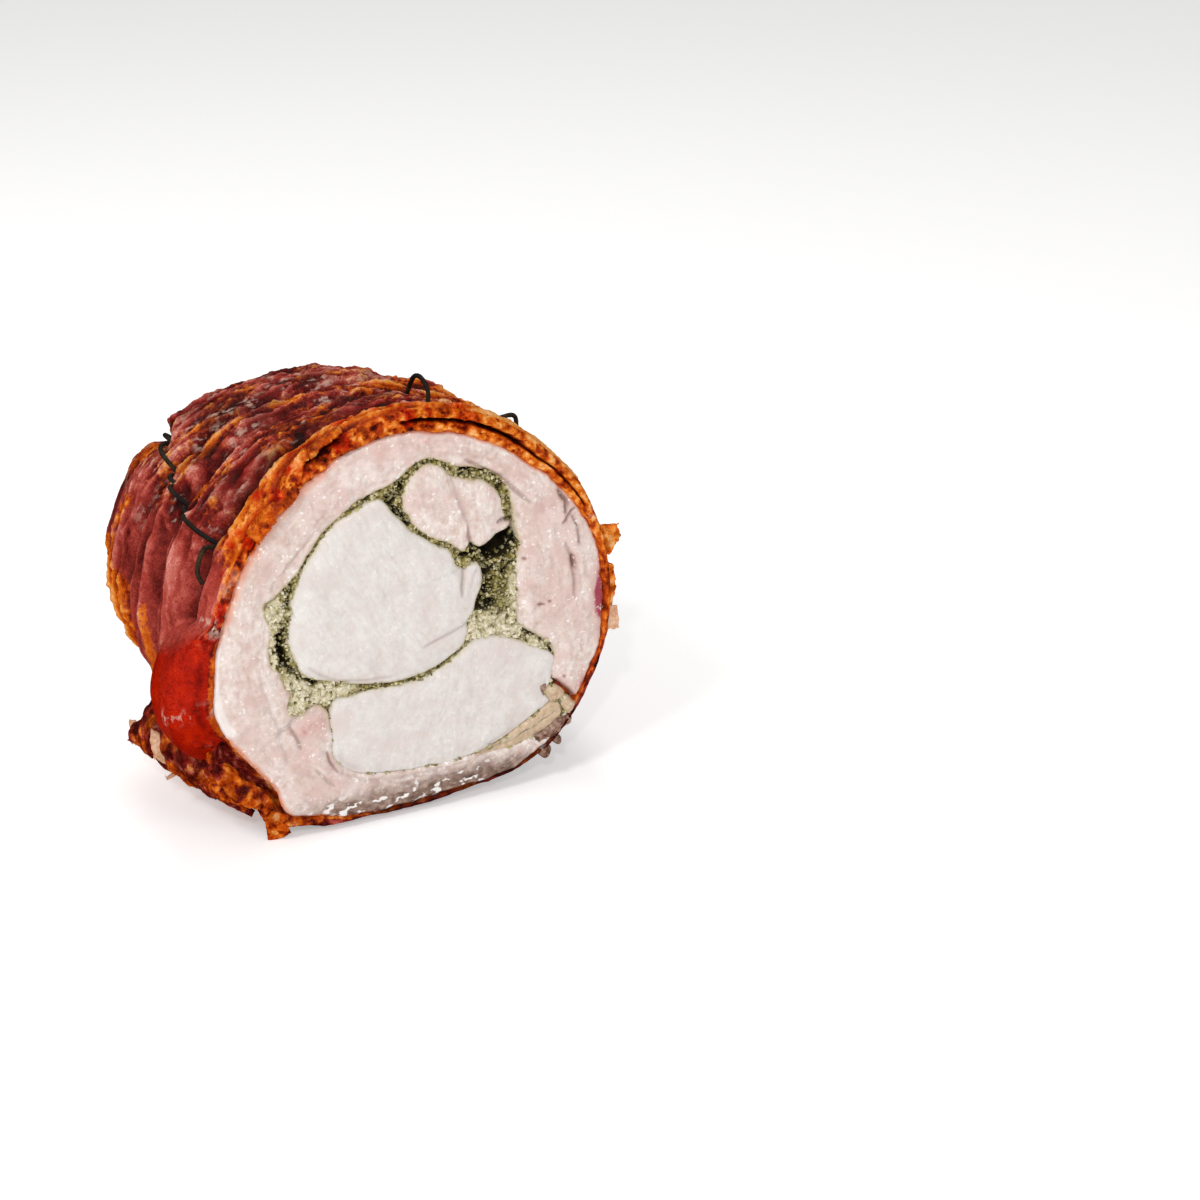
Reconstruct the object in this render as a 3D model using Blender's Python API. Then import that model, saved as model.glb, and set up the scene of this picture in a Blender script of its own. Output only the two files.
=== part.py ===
"""Half of a rolled, stuffed and tied porchetta, standing on its flat underside.

The cut face looks along -Y, the roll runs back along +Y, +Z is up. The origin is on the flat
underside, below the roll's middle line and CUT_TO_ORIGIN behind the cut.
The tables below are in millimetres, with Y counted from the cut, and placed() turns them into metres.
"""
import math
import random

import bmesh
import bpy
from mathutils import Vector

MM = 0.001
CUT_TO_ORIGIN = 36.0

# The roll's outside
FACE_CENTRE_Z = 58.0
BODY_LENGTH = 74.0
END_DEPTH = 26.0
INNER_LENGTH = 80.0
AROUND = 64
# Radius of the meat at the cut face, every 15 degrees, counted from +X towards +Z
FACE_RADII = (60.5, 60.0, 58.0, 56.0, 55.5, 56.0, 56.5, 57.0, 56.5, 56.0, 56.5, 57.5,
              60.0, 62.5, 60.0, 59.5, 60.5, 57.0, 54.5, 55.5, 59.5, 61.5, 61.5, 61.5)
# Thickness of the skin over it, at the same angles
SKIN_THICKNESS = (2.5, 2.5, 3.0, 4.0, 5.0, 5.0, 4.5, 4.0, 3.5, 3.0, 2.5, 2.5,
                  3.0, 4.0, 4.5, 3.5, 3.0, 2.5, 3.5, 2.5, 1.0, 1.0, 1.5, 2.0)
# Along the roll: place, half width, height of the centre, size above and below it, squareness
STATIONS = (
    (0.0, 64.0, 58.0, 60.0, 60.5, 2.1),
    (30.0, 65.5, 58.0, 57.8, 61.0, 2.0),
    (52.0, 66.0, 60.0, 55.0, 62.0, 1.95),
    (66.0, 64.5, 62.5, 52.5, 60.5, 1.95),
    (74.0, 61.5, 64.0, 49.5, 56.0, 1.9),
)

# Ties: each groove's middle, and how far it leans back towards the top right
TIES = (("near", 13.0, 4.0), ("middle", 33.0, 9.0), ("far", 51.0, 5.0))
TIE_LEAN_ANGLE = 60.0
GROOVE_DEPTH = 5.0
GROOVE_WIDTH = 2.7
LOBE_SWELL = 1.2
# What is this close to the ground is pressed flat on it
FLAT_TOLERANCE = 0.3
LONG_TIE_ANGLE = 141.0
CREASE_DEPTH = 4.0
CREASE_WIDTH = 3.0
TWINE_RADIUS = 0.7
TWINE_LIFT = 2.1

# Pieces that show at the cut, as closed outlines of (across, up)
CAVITY = ((43.5, 32.5), (44.0, 37.0), (41.5, 43.0), (36.0, 49.0), (32.5, 54.0), (32.0, 62.0),
          (33.0, 72.0), (33.3, 82.0), (32.0, 89.0), (28.0, 96.3), (22.0, 101.0), (15.0, 103.2),
          (7.5, 106.2), (1.0, 105.0), (-5.0, 100.0), (-11.0, 97.9), (-18.0, 96.0), (-25.0, 90.8),
          (-31.0, 84.0), (-37.0, 77.0), (-43.0, 72.0), (-43.5, 66.0), (-42.3, 59.0), (-42.5, 53.0),
          (-40.5, 48.0), (-41.0, 42.5), (-36.0, 39.0), (-30.0, 39.8), (-26.8, 33.0), (-26.6, 25.0),
          (-24.2, 19.4), (-18.5, 15.9), (-8.0, 14.2), (6.0, 13.2), (20.0, 13.3), (31.0, 13.3),
          (37.0, 15.8), (46.0, 20.4), (47.0, 23.2), (44.2, 26.6))
BREAST = ((-9.5, 95.4), (-6.2, 91.2), (-0.8, 86.6), (4.4, 82.4), (9.0, 78.6), (13.2, 75.6),
          (15.4, 72.0), (19.2, 70.6), (20.6, 65.0), (19.2, 60.0), (17.4, 54.5), (15.0, 49.6),
          (11.5, 46.6), (6.0, 44.4), (0.0, 43.5), (-7.0, 43.0), (-15.0, 43.2), (-21.0, 44.3),
          (-27.0, 46.8), (-32.2, 50.4), (-35.8, 54.6), (-37.6, 60.0), (-37.2, 66.5), (-35.2, 73.2),
          (-31.6, 79.4), (-27.0, 85.4), (-21.8, 90.6), (-15.8, 94.6))
TENDERLOIN = ((-2.4, 95.6), (-0.6, 99.6), (3.0, 102.6), (8.0, 102.8), (12.2, 100.2), (17.6, 98.2),
              (23.0, 95.6), (27.0, 91.4), (28.6, 86.4), (28.2, 82.0), (25.4, 80.0), (21.6, 78.6),
              (17.6, 78.6), (14.0, 79.4), (10.2, 82.2), (6.0, 85.6), (2.2, 89.2), (-1.0, 92.4))
LOWER_FILLET = ((-24.6, 40.4), (-26.2, 33.0), (-26.0, 25.2), (-23.8, 19.8), (-18.2, 16.4),
                (-8.0, 14.7), (3.0, 13.9), (13.0, 14.4), (21.0, 16.2), (28.0, 19.2), (35.0, 22.3),
                (41.4, 26.0), (42.4, 30.2), (41.8, 35.2), (39.6, 40.4), (36.0, 44.6), (31.0, 48.2),
                (25.0, 50.2), (20.0, 49.6), (15.6, 46.4), (11.0, 43.4), (6.0, 41.7), (0.0, 41.1),
                (-8.0, 40.7), (-16.0, 40.6))
FAT_STRIP = ((15.5, 14.0), (22.0, 15.4), (29.0, 18.3), (36.0, 21.3), (42.6, 25.0), (45.0, 24.4),
             (46.2, 22.6), (45.2, 20.7), (36.6, 16.2), (30.6, 13.9), (22.0, 13.7))
FIT_GAP = 0.4
SEAM_SLIT = ((42.0, 31.8), (51.5, 23.8), 1.5, 7.0)
HERB_HOLLOW = (26.6, 70.5, 3.0, 8.5, 9.0)

# Ragged skin along the lower left corner, between the ties. Each flap has its near and far edge as
# (place behind the cut, across, up) of the tip, and the angles where it leaves the roll.
CORNER_FLAPS = (((0.7, -44.0, 2.2), (6.4, -45.0, 2.4), (224.0, 238.0)),
                ((12.4, -43.5, 2.4), (20.6, -46.0, 2.8), (222.0, 236.0)),
                ((27.0, -47.5, 3.0), (45.5, -73.0, 18.0), (206.0, 228.0)))
# Flakes of skin that stand out from the rim: angle, reach, width along the rim
RIM_FLAKES = ((11.5, 4.6, 6.5), (354.0, 2.6, 6.0), (36.0, 2.4, 7.0), (112.0, 2.6, 9.0),
              (129.0, 2.4, 7.0))
CRUMBS = 46
RANDOM_SEED = 7


def smoothstep(low, high, value):
    """0 below low, 1 above high, and a smooth rise between them."""
    t = min(1.0, max(0.0, (value - low) / (high - low)))
    return t * t * (3.0 - 2.0 * t)


def around_table(table, angle):
    """A value at an angle in degrees, from a table of equal steps round the circle, as a smooth curve."""
    step = 360.0 / len(table)
    place = (angle % 360.0) / step
    index = int(place)
    t = place - index
    a, b, c, d = (table[(index + k) % len(table)] for k in (-1, 0, 1, 2))
    return b + 0.5 * t * (c - a + t * (2 * a - 5 * b + 4 * c - d + t * (3 * (b - c) + d - a)))


def along_table(table, place):
    """A row of values at a place along the roll, between the rows of a table, eased at each row."""
    place = min(max(place, table[0][0]), table[-1][0])
    for low, high in zip(table, table[1:]):
        if place <= high[0]:
            t = smoothstep(low[0], high[0], place)
            return [a + (b - a) * t for a, b in zip(low[1:], high[1:])]
    return list(table[-1][1:])


def lean(place):
    """How far the ties lean at this place along the roll."""
    knots = [(0.0, 0.0)] + [(middle, amount) for _, middle, amount in TIES] + [(BODY_LENGTH, 0.0)]
    return along_table(knots, place)[0]


def base_radius(angle, place):
    """The roll's radius without ties: the traced outline at the cut, an oval further back."""
    half_width, centre, above, below, power = along_table(STATIONS, place)
    turn = math.radians(angle)
    tall = above if math.sin(turn) >= 0 else below
    oval = ((abs(math.cos(turn)) / half_width) ** power
            + (abs(math.sin(turn)) / tall) ** power) ** (-1.0 / power)
    traced = around_table(FACE_RADII, angle) + around_table(SKIN_THICKNESS, angle)
    radius = traced + (oval - traced) * smoothstep(4.0, 32.0, place)
    if math.sin(turn) < -0.2:
        flat_height = 7.0 * smoothstep(62.0, BODY_LENGTH, place)
        radius = min(radius, (centre - flat_height) / -math.sin(turn))
    return radius


def tie_depth(angle, place):
    """How deep the ties press in, less the swell of the lobes between them."""
    depth = 0.0
    for _, middle, _ in TIES:
        depth += GROOVE_DEPTH * max(0.0, math.exp(-(abs(place - middle) / GROOVE_WIDTH) ** 1.5) - 0.01)
    upper = smoothstep(-0.75, -0.2, math.sin(math.radians(angle)))
    swell = LOBE_SWELL * upper * smoothstep(2.0, 8.0, place) * (1.0 - min(depth / GROOVE_DEPTH, 1.0))
    left = smoothstep(0.78, 0.97, -math.cos(math.radians(angle - 2.0)))
    pleat = 2.4 * left * math.exp(-((place - 42.0) / 2.2) ** 2)
    return depth - swell + pleat


def side_lobe(angle, place):
    """The fold of skin that bulges low on the left, from the cut back over the near tie."""
    spread = ((angle - 205.0) / 16.0) ** 2 + ((place - 14.0) / 9.5) ** 2
    return 11.0 * math.exp(-spread)


def rim_lip(angle, place):
    """The doubled fold of skin over the top of the cut face."""
    top = smoothstep(35.0, 60.0, angle) * (1.0 - smoothstep(112.0, 140.0, angle))
    return 2.4 * top * math.exp(-((place - 3.0) / 3.2) ** 2)


def outer_point(angle, place, lift=0.0, tied=True):
    """A point on the roll's outside, in millimetres.

    The angle goes round the roll. The place goes along it and past BODY_LENGTH on over the rounded end,
    where each further millimetre is one of arc. The lift is height above the surface.
    """
    beyond = max(0.0, place - BODY_LENGTH)
    climb = min(beyond / END_DEPTH, 1.0) * math.pi / 2.0
    body_place = min(place, BODY_LENGTH)
    centre = along_table(STATIONS, body_place)[1]
    radius = base_radius(angle, body_place)
    if tied:
        radius += side_lobe(angle, body_place) + rim_lip(angle, body_place)
        lift -= tie_depth(angle, body_place)
    turn = math.radians(angle)
    radius *= math.cos(climb) ** 0.85 if climb < math.pi / 2.0 - 1e-6 else 0.0
    if tied:
        off_crease = radius * math.sin(math.radians(angle - LONG_TIE_ANGLE))
        lift -= CREASE_DEPTH * smoothstep(57.0, 68.0, place) * math.exp(-(off_crease / CREASE_WIDTH) ** 2)
        pleats = math.sin(11.0 * turn + 0.8) + 0.6 * math.sin(17.0 * turn)
        lift += 0.8 * pleats * math.sin(2.0 * climb)
    radius += lift * math.cos(climb)
    back = body_place + lean(body_place) * math.cos(math.radians(angle - TIE_LEAN_ANGLE))
    back += (END_DEPTH + lift) * math.sin(climb)
    height = centre + radius * math.sin(turn)
    return Vector((radius * math.cos(turn), back, height if height > FLAT_TOLERANCE else 0.0))


def smooth_outline(points, pieces=2):
    """A closed curve through the points, each stretch in a few pieces."""
    out = []
    count = len(points)
    for i in range(count):
        a, b, c, d = (Vector(points[(i + k) % count]) for k in (-1, 0, 1, 2))
        for j in range(pieces):
            t = j / pieces
            out.append(b + 0.5 * t * (c - a + t * (2 * a - 5 * b + 4 * c - d + t * (3 * (b - c) + d - a))))
    return out


def grown_outline(outline, distance):
    """The outline moved outwards by a distance, or inwards if that is negative."""
    area = sum(p.x * q.y - q.x * p.y for p, q in zip(outline, outline[1:] + outline[:1]))
    side = 1.0 if area > 0 else -1.0
    grown = []
    for i, p in enumerate(outline):
        along = outline[(i + 1) % len(outline)] - outline[i - 1]
        grown.append(p + Vector((along.y, -along.x)).normalized() * distance * side)
    return grown


def inner_point(point, back):
    """A point of the cut face, carried back to where the roll narrows."""
    t = back / INNER_LENGTH
    size = 1.0 - 0.05 * max(0.0, t) - 0.16 * max(0.0, t) ** 3
    rise = 6.0 * max(0.0, t) ** 2
    return Vector((point.x * size, back, FACE_CENTRE_Z + rise + (point.y - FACE_CENTRE_Z) * size))


def placed(point):
    """A point of the tables, in metres from the origin."""
    return Vector((point.x, point.y - CUT_TO_ORIGIN, point.z)) * MM


def loft(name, rings, collection):
    """A closed mesh through rings of equal length. A ring of one point is a pole, other ends are flat."""
    mesh = bpy.data.meshes.new(name)
    bm = bmesh.new()
    rows = [[bm.verts.new(placed(p)) for p in ring] for ring in rings]
    for near, far in zip(rows, rows[1:]):
        count = max(len(near), len(far))
        for i in range(count):
            j = (i + 1) % count
            if len(far) == 1:
                bm.faces.new((near[i], near[j], far[0]))
            elif len(near) == 1:
                bm.faces.new((near[0], far[j], far[i]))
            else:
                bm.faces.new((near[i], near[j], far[j], far[i]))
    for row in (rows[0], rows[-1]):
        if len(row) > 1:
            bm.faces.new(row)
    bmesh.ops.recalc_face_normals(bm, faces=bm.faces)
    bmesh.ops.triangulate(bm, faces=[f for f in bm.faces if len(f.verts) > 4])
    bm.to_mesh(mesh)
    bm.free()
    thing = bpy.data.objects.new(name, mesh)
    collection.objects.link(thing)
    return thing


def inner_loft(name, outline, collection, front=0.0, back=INNER_LENGTH, crown=0.0):
    """A piece that runs through the roll. A crown rounds its edge and lets it stand proud of the cut."""
    stations = [max(front, 0.0), 0.55 * INNER_LENGTH, min(back, INNER_LENGTH)]
    if front < 0.0:
        stations.insert(0, front)
    if back > INNER_LENGTH:
        stations.append(back)
    rings = []
    if crown:
        middle = sum(outline, Vector((0.0, 0.0))) / len(outline)
        for inset, proud in ((0.80, 1.0), (0.93, 0.7)):
            rings.append([inner_point(middle + (p - middle) * inset, front - crown * proud) for p in outline])
    rings += [[inner_point(p, y) for p in outline] for y in stations]
    return loft(name, rings, collection)


def material(name, colour, roughness, metallic=0.0):
    made = bpy.data.materials.new(name)
    made.use_nodes = True
    shader = made.node_tree.nodes["Principled BSDF"]
    shader.inputs["Base Color"].default_value = (*colour, 1.0)
    shader.inputs["Roughness"].default_value = roughness
    shader.inputs["Metallic"].default_value = metallic
    return made


def boolean(thing, operation, other=None, collection=None, solver="EXACT"):
    """Cuts or joins at once, so that what follows works on the result."""
    modifier = thing.modifiers.new(operation.title(), "BOOLEAN")
    modifier.operation = operation
    modifier.solver = solver
    if collection is not None:
        modifier.operand_type = "COLLECTION"
        modifier.collection = collection
    else:
        modifier.object = other
    evaluated = thing.evaluated_get(bpy.context.evaluated_depsgraph_get())
    result = bpy.data.meshes.new_from_object(evaluated)
    thing.modifiers.clear()
    thing.data = result


def remove_collection(collection):
    for thing in list(collection.objects):
        bpy.data.objects.remove(thing)
    bpy.data.collections.remove(collection)


def keep_largest_island(thing):
    """Drops the loose scraps that a cut leaves."""
    bm = bmesh.new()
    bm.from_mesh(thing.data)
    bmesh.ops.remove_doubles(bm, verts=bm.verts, dist=1e-6)
    left = set(bm.verts)
    islands = []
    while left:
        island = set()
        queue = [left.pop()]
        while queue:
            vert = queue.pop()
            island.add(vert)
            for edge in vert.link_edges:
                other = edge.other_vert(vert)
                if other in left:
                    left.discard(other)
                    queue.append(other)
        islands.append(island)
    islands.sort(key=len)
    for island in islands[:-1]:
        bmesh.ops.delete(bm, geom=list(island), context="VERTS")
    bm.to_mesh(thing.data)
    bm.free()


def wrap_rings():
    """Rings from the cut face to the far pole, closer together at each tie."""
    places = [0.0, 1.6, 4.2, 7.0]
    for _, middle, _ in TIES:
        places += [middle + step for step in (-3.2, -1.6, 0.0, 1.6, 3.2)]
    places += [19.5, 25.0, 39.6, 44.6, 57.0, 61.5, 66.0, 70.0]
    places = sorted(places) + [BODY_LENGTH + END_DEPTH * t for t in (0.0, 0.18, 0.36, 0.54, 0.72, 0.88)]
    angles = []
    for i in range(AROUND):
        even = LONG_TIE_ANGLE + 360.0 * i / AROUND
        angles.append(even - 15.0 * math.sin(math.radians(2.0 * (even - LONG_TIE_ANGLE))))
    rings = [[outer_point(angle, place) for angle in angles] for place in places]
    rings.append([outer_point(0.0, BODY_LENGTH + END_DEPTH, lift=0.0)])
    return rings


def place_behind_cut(back, angle):
    """The place whose ring, with its lean, passes at this depth behind the cut."""
    place = back
    for _ in range(4):
        place = back - lean(place) * math.cos(math.radians(angle - TIE_LEAN_ANGLE))
    return place


def corner_flap(near, far, leaves_at, dice, collection):
    """A crumpled piece of skin that spreads from the lower left corner, between two ties."""
    steps = 4
    upper, lower = leaves_at
    rings = []
    for i in range(steps + 1):
        t = i / steps
        spread = t ** 1.5
        tip = Vector((near[1] + (far[1] - near[1]) * spread, near[0] + (far[0] - near[0]) * t,
                      near[2] + (far[2] - near[2]) * spread))
        edge = 0.93 + dice.uniform(-0.12, 0.12)
        over = outer_point(upper, place_behind_cut(tip.y, upper), lift=-2.5)
        under = outer_point(lower, place_behind_cut(tip.y, lower), lift=-2.5)
        tip = under.lerp(tip, edge) + Vector((0.0, 0.0, dice.uniform(-0.4, 0.8)))
        tip.z = max(tip.z, 1.4)
        rings.append([over, over.lerp(tip, 0.55) + Vector((-0.5, 0.0, 1.6)), tip + Vector((0.0, 0.0, 1.3)),
                      tip + Vector((0.3, 0.0, -0.9)), under])
    return loft("corner_flap", rings, collection)


def rim_flake(angle, reach, width, dice, collection):
    """A thin torn flake that stands out from the edge of the skin at the cut."""
    half = math.degrees(width / 2.0 / 62.0)
    rings = []
    for share, height in ((-1.0, 0.35), (-0.4, 1.0), (0.25, 0.8), (1.0, 0.4)):
        at = angle + half * share
        root = outer_point(at, 0.9, lift=-1.4)
        tip = outer_point(at, 0.6, lift=reach * height * dice.uniform(0.85, 1.1))
        thick = Vector((0.0, 0.55, 0.0))
        rings.append([root - thick, tip - thick * 0.5, tip + thick * 0.8, root + thick])
    return loft("rim_flake", rings, collection)


def make_wrap(collection):
    """The meat that is rolled round the rest, with its skin, in one solid with a slit where the roll ends."""
    wrap = loft("rolled_wrap_with_skin", wrap_rings(), collection)
    cutters = bpy.data.collections.new("wrap_cutters")
    bpy.context.scene.collection.children.link(cutters)
    cavity = inner_loft("cavity", smooth_outline(CAVITY), cutters, front=-5.0, back=INNER_LENGTH + 0.5)
    boolean(wrap, "DIFFERENCE", cavity)
    start, end, width, slit_depth = SEAM_SLIT
    start, end = Vector(start), Vector(end)
    side = (end - start).orthogonal().normalized() * width / 2.0
    slit = [start - side, end - side * 1.3, end + side * 1.3, start + side]
    slit_rings = [[Vector((p.x, back, p.y)) for p in slit] for back in (-5.0, slit_depth)]
    boolean(wrap, "DIFFERENCE", loft("slit", slit_rings, cutters))
    remove_collection(cutters)
    scraps = bpy.data.collections.new("skin_scraps")
    bpy.context.scene.collection.children.link(scraps)
    dice = random.Random(RANDOM_SEED)
    for flap in CORNER_FLAPS:
        boolean(wrap, "UNION", corner_flap(*flap, dice, scraps))
    for flake in RIM_FLAKES:
        boolean(wrap, "UNION", rim_flake(*flake, dice, scraps))
    remove_collection(scraps)
    keep_largest_island(wrap)
    return wrap


def distance_to(outline, point):
    """The least distance from a point to a closed outline."""
    least = 1e9
    for p, q in zip(outline, outline[1:] + outline[:1]):
        edge = q - p
        t = max(0.0, min(1.0, (point - p).dot(edge) / edge.length_squared))
        least = min(least, (p + edge * t - point).length)
    return least


def is_inside(outline, point):
    inside = False
    for p, q in zip(outline, outline[1:] + outline[:1]):
        if (p.y > point.y) != (q.y > point.y):
            if point.x < (q.x - p.x) * (point.y - p.y) / (q.y - p.y) + p.x:
                inside = not inside
    return inside


def make_stuffing(collection):
    """The herb stuffing: what the fillets leave of the space in the wrap, with crumbs on its cut face."""
    cavity = grown_outline(smooth_outline(CAVITY), -FIT_GAP)
    stuffing = inner_loft("herb_stuffing", cavity, collection, front=0.5)
    cutters = bpy.data.collections.new("stuffing_cutters")
    bpy.context.scene.collection.children.link(cutters)
    fillets = [smooth_outline(points) for points in (BREAST, TENDERLOIN, LOWER_FILLET, FAT_STRIP)]
    for outline in fillets:
        grown = grown_outline(outline, FIT_GAP)
        space = inner_loft("fillet_space", grown, cutters, front=-5.0, back=INNER_LENGTH + 1.0)
        boolean(stuffing, "DIFFERENCE", space)
    across, up, half_width, half_height, depth = HERB_HOLLOW
    hollow_outline = [Vector((across + half_width * math.cos(a) * (1.0 + 0.2 * math.sin(3.0 * a)),
                              up + half_height * math.sin(a)))
                      for a in (2.0 * math.pi * i / 14 for i in range(14))]
    rings = [[Vector((across + (p.x - across) * s, y, up + (p.y - up) * s)) for p in hollow_outline]
             for y, s in ((-3.0, 1.0), (2.0, 0.95), (depth * 0.7, 0.7), (depth, 0.35))]
    boolean(stuffing, "DIFFERENCE", loft("hollow", rings, cutters))
    remove_collection(cutters)
    keep_largest_island(stuffing)
    crumbs = bpy.data.collections.new("crumbs")
    bpy.context.scene.collection.children.link(crumbs)
    dice = random.Random(RANDOM_SEED)
    spots = []
    tries = 0
    while len(spots) < CRUMBS and tries < 20000:
        tries += 1
        spot = Vector((dice.uniform(-44.0, 46.0), dice.uniform(34.0, 107.0)))
        size = dice.uniform(0.8, 1.4)
        room = 0.45 + size
        if not is_inside(cavity, spot) or any(is_inside(outline, spot) for outline in fillets):
            continue
        if distance_to(cavity, spot) < room or min(distance_to(o, spot) for o in fillets) < room:
            continue
        from_hollow = Vector(((spot.x - across) / (half_width + size), (spot.y - up) / (half_height + size)))
        if from_hollow.length < 1.05 or any((spot - other).length < 1.7 for other in spots):
            continue
        spots.append(spot)
        bpy.ops.mesh.primitive_ico_sphere_add(subdivisions=1, radius=size * MM)
        crumb = bpy.context.object
        crumb.location = placed(inner_point(spot, dice.uniform(-0.1, 0.5)))
        crumb.rotation_euler = [dice.uniform(0.0, 6.0) for _ in range(3)]
        for owner in list(crumb.users_collection):
            owner.objects.unlink(crumb)
        crumbs.objects.link(crumb)
    boolean(stuffing, "UNION", collection=crumbs)
    remove_collection(crumbs)
    keep_largest_island(stuffing)
    return stuffing


def tie_loop_points(middle):
    """The closed path of one tie, in its groove."""
    count = 36
    points = []
    for i in range(count):
        angle = (LONG_TIE_ANGLE + 360.0 * i / count) % 360.0
        points.append(outer_point(angle, middle, lift=TWINE_LIFT + 0.12 * side_lobe(angle, middle)))
    return points


def long_tie_points():
    """From the cut end along the upper left side, tie to tie, over the far end and back to the far tie."""
    near, middle, far = (tie[1] for tie in TIES)
    # The loose end left by the knife, which curls over the near tie: angle, place, height
    loose_end = ((162.0, 10.4, 1.2), (160.4, 10.2, 2.2), (158.2, 10.0, 3.0), (155.8, 10.2, 3.4),
                 (153.6, 11.0, 2.8), (152.0, 12.2, 1.4))
    points = [outer_point(angle, place, lift=height + 0.8, tied=False) for angle, place, height in loose_end]
    points.append(outer_point(151.0, near, lift=TWINE_LIFT + 1.0))
    for place, height in ((near + 3.2, 0.8), (near + 7.0, 2.5), (middle - 7.0, 2.5), (middle - 3.6, 0.8)):
        points.append(outer_point(150.0 - 0.13 * (place - near), place, lift=height, tied=False))
    points.append(outer_point(147.4, middle, lift=TWINE_LIFT + 0.9))
    for place, height in ((middle + 3.6, 0.8), (middle + 7.0, 2.5), (far - 6.0, 2.3), (far - 3.2, 0.8)):
        points.append(outer_point(150.0 - 0.13 * (place - near), place, lift=height, tied=False))
    points.append(outer_point(144.0, far, lift=TWINE_LIFT + 1.0))
    for step in range(1, 4):
        points.append(outer_point(143.0 - 0.7 * step, far + 4.2 * step, lift=TWINE_LIFT + 0.5))
    for step in range(14):
        points.append(outer_point(LONG_TIE_ANGLE, far + 16.0 + 2.4 * step, lift=TWINE_LIFT))
    for step in range(16):
        points.append(outer_point(LONG_TIE_ANGLE + 180.0, 99.0 - 2.4 * step, lift=TWINE_LIFT))
    points.append(outer_point(LONG_TIE_ANGLE + 180.0, 59.0, lift=TWINE_LIFT + 0.6))
    points.append(outer_point(LONG_TIE_ANGLE + 180.0, 55.0, lift=TWINE_LIFT + 0.8))
    points.append(outer_point(LONG_TIE_ANGLE + 180.0, far, lift=TWINE_LIFT + 0.7))
    return points


def slack_bight_points():
    """The slack bit of twine that stands up from the near tie, right of the top."""
    near = TIES[0][1]
    path = ((73.4, 0.0, TWINE_LIFT), (74.6, 0.3, 2.5), (75.2, 0.9, 4.4), (75.8, 2.0, 6.0), (76.8, 3.4, 6.8),
            (78.2, 4.6, 6.4), (79.2, 5.4, 4.8), (79.8, 5.4, 2.4), (80.6, 4.6, 1.5), (82.2, 3.0, 1.4),
            (84.0, 1.4, 1.6), (85.6, 0.0, TWINE_LIFT))
    return [outer_point(angle, near + behind, lift=height) for angle, behind, height in path]


def twine_tube(name, points, closed, collection):
    """A round tube on a path, made a mesh with welded caps so that tubes can be joined."""
    curve = bpy.data.curves.new(name, "CURVE")
    curve.dimensions = "3D"
    curve.bevel_depth = TWINE_RADIUS * MM
    curve.bevel_resolution = 2
    curve.use_fill_caps = True
    spline = curve.splines.new("POLY")
    spline.points.add(len(points) - 1)
    for slot, point in zip(spline.points, points):
        slot.co = (*placed(point), 1.0)
    spline.use_cyclic_u = closed
    path = bpy.data.objects.new(name + "_path", curve)
    collection.objects.link(path)
    evaluated = path.evaluated_get(bpy.context.evaluated_depsgraph_get())
    mesh = bpy.data.meshes.new_from_object(evaluated)
    bm = bmesh.new()
    bm.from_mesh(mesh)
    bmesh.ops.remove_doubles(bm, verts=bm.verts, dist=1e-6)
    bmesh.ops.recalc_face_normals(bm, faces=bm.faces)
    bm.to_mesh(mesh)
    bm.free()
    bpy.data.objects.remove(path)
    tube = bpy.data.objects.new(name, mesh)
    collection.objects.link(tube)
    return tube


def make_twine(collection):
    """The butcher's twine: three ties, the run that links them and its slack bits, as one string."""
    strands = bpy.data.collections.new("strands")
    bpy.context.scene.collection.children.link(strands)
    twine = twine_tube("tie_twine", long_tie_points(), False, collection)
    for tie_name, middle, _ in TIES:
        twine_tube("tie_" + tie_name, tie_loop_points(middle), True, strands)
    twine_tube("slack_bight", slack_bight_points(), False, strands)
    boolean(twine, "UNION", collection=strands)
    remove_collection(strands)
    return twine


def main():
    for thing in list(bpy.data.objects):
        bpy.data.objects.remove(thing)
    parts = bpy.data.collections.new("porchetta_half")
    bpy.context.scene.collection.children.link(parts)
    white_meat = material("roast_white_meat", (0.80, 0.68, 0.61), 0.45)
    soft_fat = material("roast_fat", (0.72, 0.58, 0.42), 0.35)
    pieces = [
        (make_wrap(parts), material("roasted_skin", (0.45, 0.10, 0.03), 0.38)),
        (inner_loft("breast_fillet", smooth_outline(BREAST), parts, crown=0.9), white_meat),
        (inner_loft("tenderloin", smooth_outline(TENDERLOIN), parts, crown=0.8), white_meat),
        (inner_loft("lower_fillet", smooth_outline(LOWER_FILLET), parts, crown=0.4), white_meat),
        (inner_loft("fat_strip", smooth_outline(FAT_STRIP), parts), soft_fat),
        (make_stuffing(parts), material("herb_crumb", (0.17, 0.17, 0.05), 0.85)),
        (make_twine(parts), material("charred_twine", (0.09, 0.07, 0.045), 0.8)),
    ]
    for thing, finish in pieces:
        thing.data.materials.clear()
        thing.data.materials.append(finish)
        thing.data.shade_smooth()
        thing.data.set_sharp_from_angle(angle=math.radians(40.0))


main()
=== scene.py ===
import math

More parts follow.
